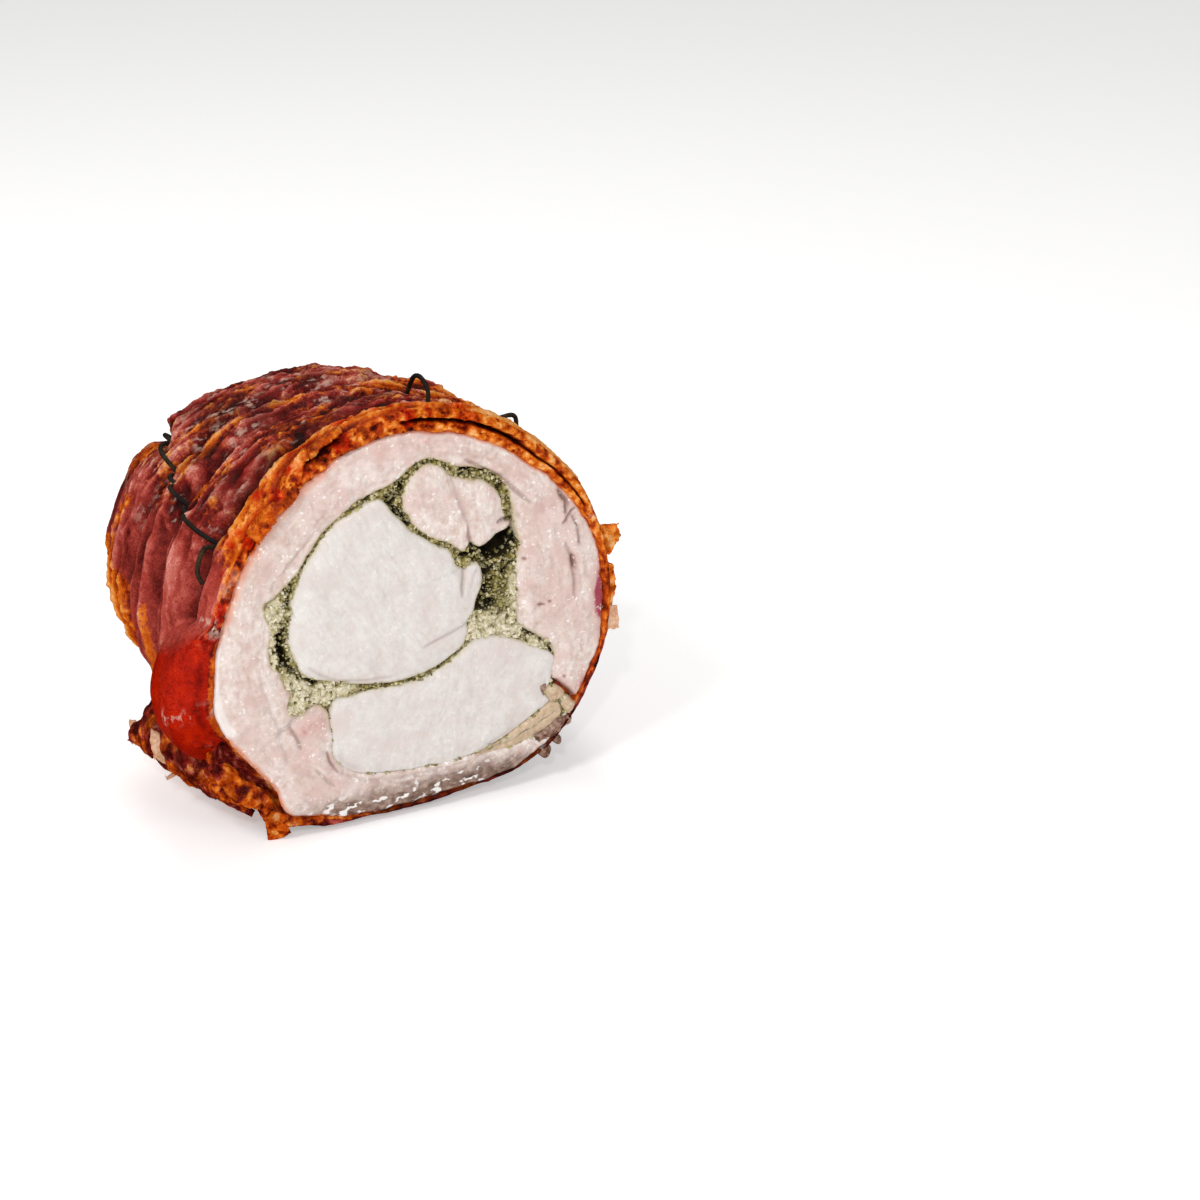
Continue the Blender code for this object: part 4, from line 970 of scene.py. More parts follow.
def makeOuterMeat():
    # the rolled meat: a ring from the cavity's edge to the skin, its walls running back, closed on itself
    count, rows = 860, 56
    angle = np.linspace(0.0, 360.0, count, endpoint=False)
    turn = np.radians(angle)
    cavity = smoothOutline(outlines["cavity"], 12)
    around = np.degrees(np.arctan2(cavity[:, 1] - roll["faceCentre"], cavity[:, 0])) % 360.0
    order = np.argsort(around)
    reach = np.hypot(cavity[:, 0], cavity[:, 1] - roll["faceCentre"])[order]
    hole = np.interp(angle, around[order], reach, period=360.0)
    meat = meatRadius(angle)
    share = np.linspace(0.0, 1.0, rows)[:, None]
    r = hole + (meat + 0.2 - hole) * share
    x, z = r * np.cos(turn), roll["faceCentre"] + r * np.sin(turn)
    flat = pointsAt(x, 0.0, z)
    fromSkin = meat - r
    edge = evenOutline(smoothOutline(outlines["cavity"], 6), 260)
    fromHole, _ = pathDistance(x, z, np.vstack([edge, edge[:1]]))
    # fibres run round the roll in the layers of the rolled meat
    arc = turn * 55.0
    wavy = r + 1.5 * noise(flat, 9.0, 2.0)
    fibres = layeredNoise(pointsAt(arc / 5.0, wavy, 0.0), 1.3, 3, 3.0)
    layers = noise(pointsAt(arc / 9.0, wavy, 0.0), 4.5, 12.0)
    lumps = layeredNoise(flat, 5.5, 3, 7.0)
    pink, shade, groove = paintFace(x, z, faceLook["creases"])
    beads = layeredNoise(flat, 1.7, 2, 19.0)
    back = -0.08 * fibres - 0.15 * layers - 0.46 * lumps - 0.10 * beads + groove
    back = back - 0.7 * smoothStep(0.0, 6.0, fromHole) * smoothStep(0.0, 7.0, fromSkin)
    back = back + 0.35 * smoothStep(0.9, 0.0, fromHole) + 0.8 * smoothStep(1.0, 0.0, fromSkin)
    face = pointsAt(x, back + 0.25, z)
    walls = []
    end = roll["innerEnd"]
    for depth, ring, grow in ((4.0, hole, 0.0), (30.0, hole, 0.0), (60.0, hole, 0.0), (end, hole, 0.0),
                              (end, meat, -9.5), (60.0, meat, -9.5), (30.0, meat, -9.5), (7.0, meat, -8.5),
                              (4.0, meat, -0.9)):
        radius = ring + grow
        walls.append(innerPoint(radius * np.cos(turn), depth, roll["faceCentre"] + radius * np.sin(turn)))
    walls = np.array(walls)
    before, after = walls[3::-1], walls[:3:-1]
    rings = np.concatenate([before, face, after])
    bottom = smoothStep(13.8, 7.0, z + 1.8 * noise(flat, 6.0, 9.0) - 0.02 * x) * smoothStep(-46.0, -26.0, x)
    stew = bottom * smoothStep(42.0, 30.0, x) * 0.9
    left = band(angle, 100.0, 190.0, 215.0, 250.0)
    beside = band(angle, 108.0, 122.0, 164.0, 176.0)
    width = 1.0 + 0.6 * left + 2.0 * beside + 0.8 * noise(flat, 4.0, 15.0)
    stain = np.clip(1.0 - fromSkin / np.maximum(width, 0.4), 0.0, 1.0) ** 1.3
    atFold = band(angle, 172.0, 178.0, 200.0, 204.0)
    wide = 1.3 + 1.8 * smoothStep(184.0, 194.0, angle)
    fat = atFold * smoothStep(wide + 0.4, wide - 0.4, fromSkin + 0.5 * noise(flat, 3.0, 2.0))
    stain = stain * (1.0 - atFold)
    stain = stain * (1.0 - band(angle, 240.0, 262.0, 300.0, 330.0) * 0.6)
    herb = np.exp(-np.maximum(fromHole + 0.35 * noise(flat, 1.1, 2.0), 0.0) / 0.8)
    herb = herb * (1.0 - band(angle, 222.0, 228.0, 334.0, 340.0))
    pink = np.clip(pink + 0.34 * smoothStep(0.0, 0.7, layeredNoise(flat, 6.0, 3, 30.0)), 0.0, 1.8)
    masks = {"pink": pink * (1.0 - fat), "shade": shade * 0.8, "stew": stew, "stain": stain, "herb": herb,
             "fat": fat, "fibre": np.clip(0.5 + 0.4 * fibres + 0.35 * layers, 0.0, 1.0)}
    masks = {key: np.pad(value, ((len(before), len(after)), (0, 0))) for key, value in masks.items()}
    quads = gridFaces(len(rings), count, closeRows=True)
    buildPiece("rolledMeat", rings.reshape(-1, 3), quads, noFaces, masks, outerMeatPaint, "white_meat")


makeOuterMeat()

fillets = {
    # CAD node, crown in mm, grain direction in degrees, pieces round and inwards, middle, creases
    "breast": {"node": "breast_fillet", "crown": 1.5, "grain": 118.0, "count": 420, "rings": 62,
               "centre": (-10.0, 67.0), "beads": 0.04, "pink": 0.14,
               "creases": ((((16.2, 73.6), (15.4, 70.0), (14.7, 67.0), (14.8, 64.0)), 0.6, 1.2, 0.35),
                           (((-32.6, 51.6), (-29.6, 48.8), (-26.4, 46.9), (-23.0, 45.4), (-16.0, 44.2),
                             (-8.0, 44.0)), 0.45, 0.55, 0.25),
                           (((2.0, 51.0), (7.0, 52.4), (11.8, 53.8), (16.0, 55.4)), 0.5, 0.6, 0.3),
                           (((20.6, 71.6), (18.6, 69.6), (17.6, 66.0)), 0.5, 0.4, 0.1))},
    "tenderloin": {"node": "tenderloin", "crown": 1.3, "grain": 100.0, "count": 300, "rings": 36,
                   "centre": (13.5, 90.5), "beads": 0.14, "pink": 0.35,
                   "creases": ((((12.2, 100.0), (13.4, 95.0), (15.2, 90.0), (16.8, 85.0)), 0.8, 0.25, 0.4),
                               (((16.8, 85.0), (17.3, 81.4), (18.2, 79.0), (19.0, 77.6)), 0.5, 1.0, 0.5),
                               (((30.4, 83.6), (28.4, 84.6), (26.2, 84.0)), 0.45, 1.2, 0.9))},
    "lower": {"node": "lower_fillet", "crown": 0.6, "grain": 80.0, "count": 420, "rings": 46,
              "centre": (8.0, 31.0), "beads": 0.07, "pink": 0.2,
              "creases": ((((-24.4, 23.4), (-22.0, 19.6), (-17.0, 17.0)), 0.5, 0.3, 0.2),
                          (((20.0, 15.4), (26.0, 17.6), (33.0, 20.8)), 0.5, 0.25, 0.15))},
}


def makeFillet(name, look):
    # rings from the middle of the cut to its edge, round the edge and back to a pole inside the roll
    outline = evenOutline(smoothOutline(outlines[name], 10), look["count"])
    centre = np.array(look["centre"])
    share = np.linspace(0.02, 1.0, look["rings"])[:, None]
    across = centre[0] + (outline[:, 0] - centre[0]) * share
    up = centre[1] + (outline[:, 1] - centre[1]) * share
    flat = pointsAt(across, 0.0, up)
    turn = math.radians(look["grain"])
    along = across * math.cos(turn) + up * math.sin(turn)
    over = -across * math.sin(turn) + up * math.cos(turn)
    over = over + 1.4 * noise(flat, 10.0, 5.0)
    fibres = layeredNoise(pointsAt(along / 5.0, over, 0.0), 1.0, 3, 6.0)
    bands = noise(pointsAt(along / 6.0, over, 0.0), 3.0, 14.0)
    lumps = layeredNoise(flat, 6.0, 3, 17.0)
    edge = evenOutline(outline, 160)
    fromEdge, _ = pathDistance(across, up, np.vstack([edge, edge[:1]]))
    crown = look["crown"] * (1.0 - np.clip(1.0 - fromEdge / 9.0, 0.0, 1.0) ** 2.6)
    pink, shade, groove = paintFace(across, up, look["creases"])
    beads = layeredNoise(flat, 1.7, 2, 19.0)
    back = 0.5 - crown - 0.05 * fibres - 0.10 * bands - 0.26 * lumps - look["beads"] * beads + groove
    back = back + 0.3 * smoothStep(0.6, 0.0, fromEdge)
    face = pointsAt(across, back, up)
    walls = []
    end = roll["innerEnd"]
    flare, slightFlare = 1.0 + 0.25 / 30.0, 1.0 + 0.1 / 30.0
    for depth, size in ((1.8, flare), (4.0, slightFlare), (30.0, 1.0), (60.0, 1.0), (end, 1.0), (end, 0.5)):
        ring = centre + (outline - centre) * size
        walls.append(innerPoint(ring[:, 0], depth, ring[:, 1]))
    rings = np.concatenate([face, np.array(walls)])
    pink = 0.5 * pink + look["pink"] * smoothStep(0.0, 0.7, layeredNoise(flat, 9.0, 3, 41.0))
    herb = np.exp(-np.maximum(fromEdge + 0.35 * noise(flat, 1.1, 3.0), 0.0) / 0.7)
    if name == "lower":
        lowRight = smoothStep(38.0, 42.0, across) * smoothStep(43.0, 40.0, up)
        herb = herb * smoothStep(35.0, 39.0, up) * (1.0 - lowRight)
        pink = pink + 0.25 * np.exp(-((across - 27.0) / 9.0) ** 2 - ((up - 45.0) / 4.5) ** 2)
    masks = {"pink": pink, "shade": 0.7 * shade, "herb": herb,
             "fibre": np.clip(0.5 + 0.3 * fibres + 0.25 * bands, 0.0, 1.0)}
    masks.update({key: np.zeros_like(up) for key in ("stew", "stain", "fat")})
    masks = {key: withPoles(np.concatenate([value, np.repeat(value[-1:], len(walls), axis=0)]))
             for key, value in masks.items()}
    paintUsed = outerMeatPaint if name == "tenderloin" else filletPaint
    buildPiece(name + "Cut", *closedRings(rings), masks, paintUsed, "white_meat", (look["node"],))


for filletName, filletLook in fillets.items():
    makeFillet(filletName, filletLook)

herbLook = {
    "step": 0.27,
    # hollows, pushed back and painted dark by their depth as painted shade: across, up, half width, half
    # height, depth
    "hollows": ((27.4, 77.0, 5.0, 3.3, 8.0), (22.4, 59.6, 3.0, 1.7, 5.0), (21.6, 64.2, 1.5, 1.3, 3.0),
                (30.2, 80.4, 2.4, 2.6, 5.0), (23.4, 71.0, 1.8, 2.0, 2.4),
                (28.4, 68.8, 1.0, 1.2, 3.0), (24.2, 67.4, 1.4, 1.0, 2.2), (24.0, 76.0, 2.4, 2.4, 6.0),
                (-6.2, 96.6, 1.9, 1.4, 2.6), (-3.2, 98.8, 1.2, 1.6, 2.0),
                (42.4, 38.9, 0.8, 0.8, 3.0), (41.4, 36.8, 0.7, 0.7, 2.6), (36.6, 48.0, 1.2, 0.6, 2.0),
                (27.2, 56.6, 1.3, 1.0, 2.2), (18.6, 72.8, 1.4, 1.8, 2.0)),
    "backPlane": 79.0,
    # pale dry crumb: across, up, size across, size up
    "cream": ((24.0, 53.4, 8.0, 3.2), (18.6, 53.0, 3.5, 3.4), (29.6, 52.6, 5.0, 4.0),
              (38.6, 45.4, 4.5, 2.2), (-41.8, 69.2, 2.4, 3.8), (-43.2, 57.0, 1.3, 6.0),
              (-36.2, 45.6, 3.8, 4.8), (-29.0, 43.2, 5.5, 2.6),
              (-37.0, 39.4, 3.2, 2.0), (-22.4, 42.8, 3.4, 1.4), (31.4, 62.0, 1.5, 6.0)),
    # narrow gaps beside the fillets, painted dark by their depth as painted shade: path, half width, depth
    "gaps": ((((22.6, 74.0), (22.0, 70.0), (21.2, 66.0), (20.6, 61.0)), 1.5, 1.3),
             (((-40.8, 62.0), (-40.4, 58.0), (-39.4, 54.0)), 0.9, 4.5),
             (((-39.6, 54.0), (-37.4, 51.2), (-34.4, 48.6), (-30.4, 46.6)), 0.6, 3.0),
             (((-7.2, 95.0), (-4.6, 92.4), (-1.4, 88.6)), 0.8, 3.0),
             (((17.6, 80.6), (19.4, 78.2), (21.6, 76.4)), 0.6, 3.0),
             (((14.8, 76.2), (17.4, 76.0), (21.0, 76.6)), 0.5, 2.0),
             (((15.6, 101.5), (18.4, 101.2), (21.8, 100.0)), 0.5, 1.8),
             (((33.6, 50.2), (36.8, 48.0), (40.6, 45.0), (42.8, 42.8), (43.6, 40.6)), 0.45, 2.4)),
}


def herbField():
    # depth of the crumb behind the cut on a square lattice, with its hollow, gaps, lumps and grains
    step = herbLook["step"]
    x, z = np.meshgrid(np.arange(-46.0, 49.0, step), np.arange(11.0, 109.0, step))
    cavity = grownOutline(smoothOutline(outlines["cavity"], 10), 0.35)
    inside = insideOutline(x, z, cavity)
    for name in ("breast", "tenderloin", "lower", "fatStrip"):
        shrunk = grownOutline(smoothOutline(outlines[name], 10), -0.45)
        inside &= ~insideOutline(x, z, shrunk)
    flat = pointsAt(x, 0.0, z)
    near, number = cellNoise(flat, 2.1, 2.0)
    small, _ = cellNoise(flat, 1.1, 6.0)
    grains = 1.4 * (0.75 - near) * (0.4 + number) + 0.6 * (0.7 - small)
    lumps = layeredNoise(flat, 3.0, 3, 4.0)
    depth = 1.5 - grains - 0.9 * lumps
    for across, up, halfWidth, halfHeight, hollowDepth in herbLook["hollows"]:
        off = np.hypot((x - across) / halfWidth, (z - up) / halfHeight) + 0.3 * noise(flat, 2.5, 8.0)
        depth = np.maximum(depth, depth * 0.4 + hollowDepth * smoothStep(1.35, 0.75, off))
    for path, width, deep in herbLook["gaps"]:
        distance, _ = pathDistance(x, z, path)
        depth = depth + deep * bell(distance, width)
    cream = np.zeros(x.shape)
    for across, up, wide, tall in herbLook["cream"]:
        cream = np.maximum(cream, np.exp(-((x - across) / wide) ** 2 - ((z - up) / tall) ** 2))
    cream = np.clip(cream * 1.7, 0.0, 1.0) * smoothStep(-0.5, 0.1, noise(flat, 1.5, 17.0) + 0.2)
    depth = depth - 0.9 * cream
    return x, z, inside, depth, cream


def makeHerbBody():
    # the crumb as a lattice with walls down from its edge to a back plane
    x, z, inside, depth, cream = herbField()
    cells = inside[:-1, :-1] & inside[1:, :-1] & inside[1:, 1:] & inside[:-1, 1:]
    number = np.arange(x.size).reshape(x.shape)
    corners = (number[:-1, :-1], number[:-1, 1:], number[1:, 1:], number[1:, :-1])
    quads = np.stack([c[cells] for c in corners], -1)
    used, quads = np.unique(quads, return_inverse=True)
    quads = quads.reshape(-1, 4)
    across, back, up, pale = (values.ravel()[used] for values in (x, depth, z, cream))
    front = pointsAt(across, back, up)
    rear = innerPoint(across, herbLook["backPlane"], up)
    count = len(used)
    edges = np.concatenate([quads[:, [k, (k + 1) % 4]] for k in range(4)])
    code = edges[:, 0] * count + edges[:, 1]
    alone = ~np.isin(code, edges[:, 1] * count + edges[:, 0])
    border = edges[alone]
    walls = np.stack([border[:, 0], border[:, 0] + count, border[:, 1] + count, border[:, 1]], -1)
    # painted shade: the crumb is darker the deeper it lies behind the cut
    relief = np.clip(0.84 - 0.5 * (back - 0.35), 0.0, 1.0)
    masks = {"relief": np.tile(relief, 2), "cream": np.tile(pale, 2)}
    quads = np.vstack([quads, quads[:, ::-1] + count, walls])
    buildPiece("herbStuffing", np.vstack([front, rear]), quads, noFaces, masks, herbPaint, "herb_crumb",
               ("herb_stuffing",), smooth=False)
    return x, z, inside, depth, cream


def icosahedron():
    # twelve corners on three golden rectangles
    g = (1.0 + 5.0 ** 0.5) / 2.0
    corners = [(-1, g, 0), (1, g, 0), (-1, -g, 0), (1, -g, 0), (0, -1, g), (0, 1, g), (0, -1, -g),
               (0, 1, -g), (g, 0, -1), (g, 0, 1), (-g, 0, -1), (-g, 0, 1)]
    faces = [(0, 11, 5), (0, 5, 1), (0, 1, 7), (0, 7, 10), (0, 10, 11), (1, 5, 9), (5, 11, 4),
             (11, 10, 2), (10, 7, 6), (7, 1, 8), (3, 9, 4), (3, 4, 2), (3, 2, 6), (3, 6, 8), (3, 8, 9),
             (4, 9, 5), (2, 4, 11), (6, 2, 10), (8, 6, 7), (9, 8, 1)]
    return np.array(corners, float) / np.hypot(1.0, g), np.array(faces)


def scatterCrumbs(name, centres, sizes, masks, seed):
    # small deformed twenty-sided crumbs at the given places, as one mesh
    draw = np.random.default_rng(seed)
    corners, faces = icosahedron()
    count = len(centres)
    shape = corners[None] * (1.0 + 0.35 * draw.uniform(-1.0, 1.0, (count, 12, 1)))
    turns = np.linalg.qr(draw.normal(size=(count, 3, 3)))[0]
    turns[:, 0] *= np.linalg.det(turns)[:, None]
    shape = np.einsum("nij,nkj->nki", turns, shape * draw.uniform(0.6, 1.25, (count, 1, 3)))
    points = centres[:, None] + shape * sizes[:, None, None]
    tris = faces[None] + 12 * np.arange(count)[:, None, None]
    spread = {key: np.repeat(value, 12) for key, value in masks.items()}
    noQuads = np.zeros((0, 4), int)
    buildPiece(name, points, noQuads, tris, spread, herbPaint, "herb_crumb", smooth=False)


herbX, herbZ, herbInside, herbDepth, herbCream = makeHerbBody()


def makeCrumbs():
    # crumbs of several sizes and tones lie on the stuffing
    draw = np.random.default_rng(5)
    spots = np.flatnonzero(herbInside & (herbDepth < 6.0))
    picked = draw.choice(spots, 5200)
    sideways, upward = draw.uniform(-0.15, 0.15, (2, len(picked)))
    sizes = 0.18 + 0.46 * draw.random(len(picked)) ** 2.4
    across, depth, up, cream = (values.ravel()[picked] for values in (herbX, herbDepth, herbZ, herbCream))
    centres = pointsAt(across + sideways, depth - 0.3 * sizes, up + upward)
    pale = cream > draw.random(len(picked)) * 0.8
    tone = 0.25 + 0.75 * draw.random(len(picked)) ** 0.8
    masks = {"relief": tone, "cream": np.where(pale, 0.95, draw.random(len(picked)) ** 2 * 0.7)}
    scatterCrumbs("herbCrumbs", centres, sizes * np.where(pale, 1.15, 1.0), masks, 8)


makeCrumbs()


def makeFatStrip():
    # the strip of fat between the lower fillet and the wrap, rounded at its cut
    outline = evenOutline(smoothOutline(outlines["fatStrip"], 8), 200)
    x, z = outline.T
    rings = []
    spine = np.array(((16.0, 13.9), (23.0, 14.6), (30.0, 16.2), (37.0, 18.8), (45.0, 22.4)))
    at = np.stack([np.clip(x, spine[0, 0], spine[-1, 0]), np.interp(x, *spine.T)], -1)
    for inset in np.linspace(0.0, 1.0, 9):
        ring = at + (outline - at) * inset
        flat = pointsAt(ring[:, 0], 0.0, ring[:, 1])
        back = -0.5 * (1.0 - inset ** 3) + 0.35 * layeredNoise(flat, 3.0, 3, 6.0) + 0.6
        rings.append(pointsAt(ring[:, 0], back, ring[:, 1]))
    for depth in (2.0, 30.0, 60.0, roll["innerEnd"]):
        rings.append(innerPoint(x, depth, z))
    buildPiece("fatStripCut", *closedRings(np.array(rings)), None, fatPaint, "soft_fat", ("fat_strip",))


makeFatStrip()

nuggets = {
    # outline of (across, up), how far it stands out, how deep it reaches
    "fat": ((((41.0, 30.2), (44.5, 30.4), (47.5, 27.9), (46.8, 26.2), (44.8, 25.5), (43.2, 25.2),
              (41.3, 28.4)), 1.1, 9.0),
            (((46.8, 27.2), (49.0, 25.8), (50.4, 24.2), (51.4, 23.6), (50.4, 21.8), (48.8, 20.6),
              (46.6, 23.5)), 1.3, 9.0)),
    "bits": ((((39.4, 31.3), (41.4, 31.4), (41.2, 29.8), (40.3, 28.5)), 0.6, 6.0),
             (((36.5, 15.2), (42.0, 17.6), (45.0, 19.5), (48.6, 19.8), (48.6, 17.4), (46.4, 15.8),
               (44.4, 14.2), (40.0, 13.2)), 1.0, 12.0),
             (((43.4, 14.8), (45.6, 14.4), (46.4, 12.4), (45.4, 11.2), (43.8, 12.6)), 1.3, 7.0),
             (((39.6, 12.4), (42.6, 11.6), (42.8, 8.8), (41.2, 7.6), (39.2, 9.6)), 1.1, 8.0),
             (((48.2, 20.2), (49.8, 19.6), (49.6, 17.6), (48.4, 16.8), (47.4, 18.2)), 0.9, 6.0)),
}


def makeNugget(outline, crown, reach, shift):
    # a small rounded lump: rings from its middle out to its edge, then back to a pole behind
    edge = evenOutline(smoothOutline(outline, 8), 72)
    middle = edge.mean(0)
    rings = []
    for inset in np.linspace(0.05, 1.0, 14):
        ring = middle + (edge - middle) * inset
        rough = 0.45 * layeredNoise(pointsAt(ring[:, 0], shift, ring[:, 1]), 2.2, 3, shift)
        rings.append(pointsAt(ring[:, 0], 0.4 - crown * (1.0 - inset ** 3) + rough, ring[:, 1]))
    for depth, size in ((1.5, 1.04), (reach * 0.6, 1.0), (reach, 0.5)):
        ring = middle + (edge - middle) * size
        rings.append(pointsAt(ring[:, 0], depth, ring[:, 1]))
    return closedRings(np.array(rings))


def makeNuggets():
    # the lumps of fat as one piece and the stewed bits as another
    for key, paintUsed, slot in (("fat", fatPaint, "soft_fat"), ("bits", stewPaint, "roasted_skin")):
        bodies = [makeNugget(*nugget, 3.0 * number) for number, nugget in enumerate(nuggets[key])]
        buildPiece(key + "Nuggets", *joined(bodies), None, paintUsed, slot)


makeNuggets()


def lineAt(points, share):
    # places along a smooth line through the points, at shares of its length
    path, at = smoothPath(points, 0.3, False)
    at = at / max(at[-1], 1e-9)
    return np.stack([np.interp(share, at, path[:, k]) for k in range(3)], -1)


def crumpledSheet(lines, look):
    # a sheet through two or three lines, bulging to one side, crumpled by noise, its last edge torn
    along, down = look["pieces"]
    shift = look.get("shift", 0.0)      # moves the noise, so that no two flaps are alike
    u, v = np.linspace(0.0, 1.0, along), np.linspace(0.0, 1.0, down)[:, None]
    rows = [lineAt(line, u) for line in lines]
    tears = layeredNoise(rows[-1] + shift, look.get("tear", 4.0), 4, 2.0)
    v = (v * (1.0 + look["ragged"] * tears))[..., None]
    if len(rows) == 3:
        # a parabola through the three lines
        first, half, last = rows
        grid = 2.0 * first * (v - 0.5) * (v - 1.0) - 4.0 * half * v * (v - 1.0) + 2.0 * last * v * (v - 0.5)
    else:
        grid = rows[0] * (1.0 - v) + rows[1] * v
    toward = np.array(look["toward"])
    grid = grid + toward * np.sin(math.pi * np.clip(v, 0.0, 1.0)) ** 0.8
    waves = np.stack([layeredNoise(grid + shift, 6.0, 4, 3.0 + 20.0 * k) for k in range(3)], -1)
    ridges = np.abs(noise(grid + shift, 4.0, 9.0))[..., None] * toward * 0.35
    grid = grid + look["crumple"] * (waves * (0.5, 0.9, 0.7) - ridges)
    grid[..., 2] = np.maximum(grid[..., 2], 0.9)
    return grid


def crumpledRope(path, radii, look):
    # a rolled edge of skin: rings round a smooth path, their radii taken along it and roughened by noise
    line, at = smoothPath(path, 0.35, False)
    ahead = np.gradient(line, axis=0)
    ahead /= np.linalg.norm(ahead, axis=1, keepdims=True)
    side = np.cross(ahead, (0.0, 1.0, 0.0))
    side /= np.linalg.norm(side, axis=1, keepdims=True)
    above = np.cross(side, ahead)
    radius = np.interp(at / at[-1], np.linspace(0.0, 1.0, len(radii)), radii)[:, None, None]
    turn = np.linspace(0.0, 2.0 * math.pi, 40, endpoint=False)
    ring = np.cos(turn)[None, :, None] * side[:, None] + np.sin(turn)[None, :, None] * above[:, None]
    rings = line[:, None] + radius * ring
    rough = 0.32 * layeredNoise(rings, 4.5, 4, look["shift"]) + 0.18 * np.sin(3.0 * turn + look["shift"])
    rings = line[:, None] + radius * ring * (1.0 + rough)[..., None]
    rings[..., 2] = np.maximum(rings[..., 2], 0.5)
    return rings


sheets = {
    # lines of (across, back, up) from the attached edge to the torn one, then how the sheet bulges and tears
    "skirt": ((((-54.0, 48.0, 36.0), (-55.0, 36.0, 34.0), (-56.0, 26.0, 32.0), (-56.0, 16.0, 31.0),
                (-54.0, 5.0, 26.0)),
               ((-63.0, 45.5, 28.0), (-63.8, 34.0, 26.5), (-63.0, 25.0, 24.5), (-61.0, 15.0, 22.0),
                (-55.0, 6.0, 18.0)),
               ((-68.6, 46.0, 20.6), (-64.2, 37.0, 18.0), (-61.6, 29.0, 16.4), (-56.0, 17.0, 15.0),
                (-48.6, 7.0, 9.4))),
              {"toward": (-0.6, -1.4, 0.4), "crumple": 1.15, "ragged": 0.10, "pieces": (190, 60),
               "char": 0.2, "thick": 2.2, "orange": 0.36, "bright": -0.03}),
    "skirtFold": ((((-63.0, 30.0, 24.0), (-61.6, 20.0, 22.0), (-58.8, 10.0, 21.0), (-54.6, 4.0, 17.6)),
                   ((-63.4, 28.0, 18.0), (-60.0, 18.0, 15.6), (-55.6, 9.0, 14.2), (-50.6, 3.6, 12.2))),
                  {"toward": (-1.0, -2.2, 0.8), "crumple": 0.9, "ragged": 0.12, "pieces": (130, 30),
                   "shift": 9.0, "thick": 2.0, "orange": 0.45, "bright": -0.08}),
    "tipLeaf": ((((-46.6, 3.4, 10.6), (-43.6, 1.8, 9.0), (-40.4, 1.6, 6.6)),
                 ((-45.0, 5.0, 1.2), (-43.2, 4.8, 0.9), (-39.6, 2.6, 3.2))),
                {"toward": (-0.5, -1.0, 0.2), "crumple": 0.55, "ragged": 0.10, "pieces": (50, 30),
                 "shift": 4.0, "thick": 1.6, "orange": 0.95}),
    "rightFlake": ((((59.0, 2.2, 76.4), (59.8, 2.1, 72.4), (60.4, 2.2, 67.6)),
                    ((65.4, 0.6, 76.6), (65.9, 0.2, 72.8), (62.9, 0.8, 67.4))),
                   {"toward": (0.2, -0.8, 0.2), "crumple": 0.45, "ragged": 0.16, "tear": 2.2,
                    "pieces": (44, 30), "shift": 2.0, "orange": 1.3, "bright": 0.25}),
    "rightStrip": ((((60.4, 2.2, 64.6), (60.2, 2.1, 57.6), (59.6, 2.2, 51.0)),
                    ((64.0, 0.8, 64.2), (64.6, 0.6, 57.2), (63.6, 1.0, 50.0))),
                   {"toward": (0.2, -0.5, 0.0), "crumple": 0.4, "ragged": 0.16, "tear": 2.0,
                    "pieces": (50, 20), "shift": 6.0, "orange": 1.1, "bright": 0.1}),
    "topCurl": ((((-28.6, 3.2, 112.6), (-24.0, 3.4, 115.4), (-18.6, 3.8, 117.6)),
                 ((-30.0, -0.9, 112.2), (-25.6, -1.4, 115.3), (-20.6, -1.1, 118.0))),
                {"toward": (-0.3, -0.4, 0.9), "crumple": 0.5, "ragged": 0.14, "tear": 2.5, "pieces": (60, 22),
                 "shift": 3.0, "orange": 0.9}),
    "leftRag": ((((-47.5, 2.2, 92.5), (-43.5, 1.8, 97.5), (-38.0, 1.8, 101.5), (-34.5, 2.4, 105.0)),
                 ((-45.9, -0.6, 90.4), (-41.9, -0.9, 95.4), (-36.9, -0.9, 99.8), (-33.2, -0.6, 103.8))),
                {"toward": (-0.4, -0.6, 0.4), "crumple": 0.45, "ragged": 0.2, "tear": 2.4, "pieces": (90, 24),
                 "shift": 7.0, "orange": 0.9}),
}
ropes = {
    "foldRoll": (((-61.6, 4.6, 32.6), (-59.6, 2.6, 25.4), (-56.6, 2.0, 20.6), (-53.0, 1.6, 17.5),
                  (-49.3, 1.8, 14.9), (-46.8, 2.6, 11.8), (-45.2, 3.2, 7.6), (-44.2, 4.4, 2.4)),
                 (1.4, 2.3, 2.5, 2.9, 2.8, 2.2, 1.8, 0.9), {"shift": 2.0, "orange": 0.6, "bright": -0.05}),
    "innerRoll": (((-60.4, 3.4, 28.6), (-57.4, 1.2, 25.6), (-54.6, 1.0, 22.4), (-52.2, 1.6, 19.4)),
                  (0.6, 1.3, 1.4, 0.7), {"shift": 6.0, "orange": 0.65}),
}
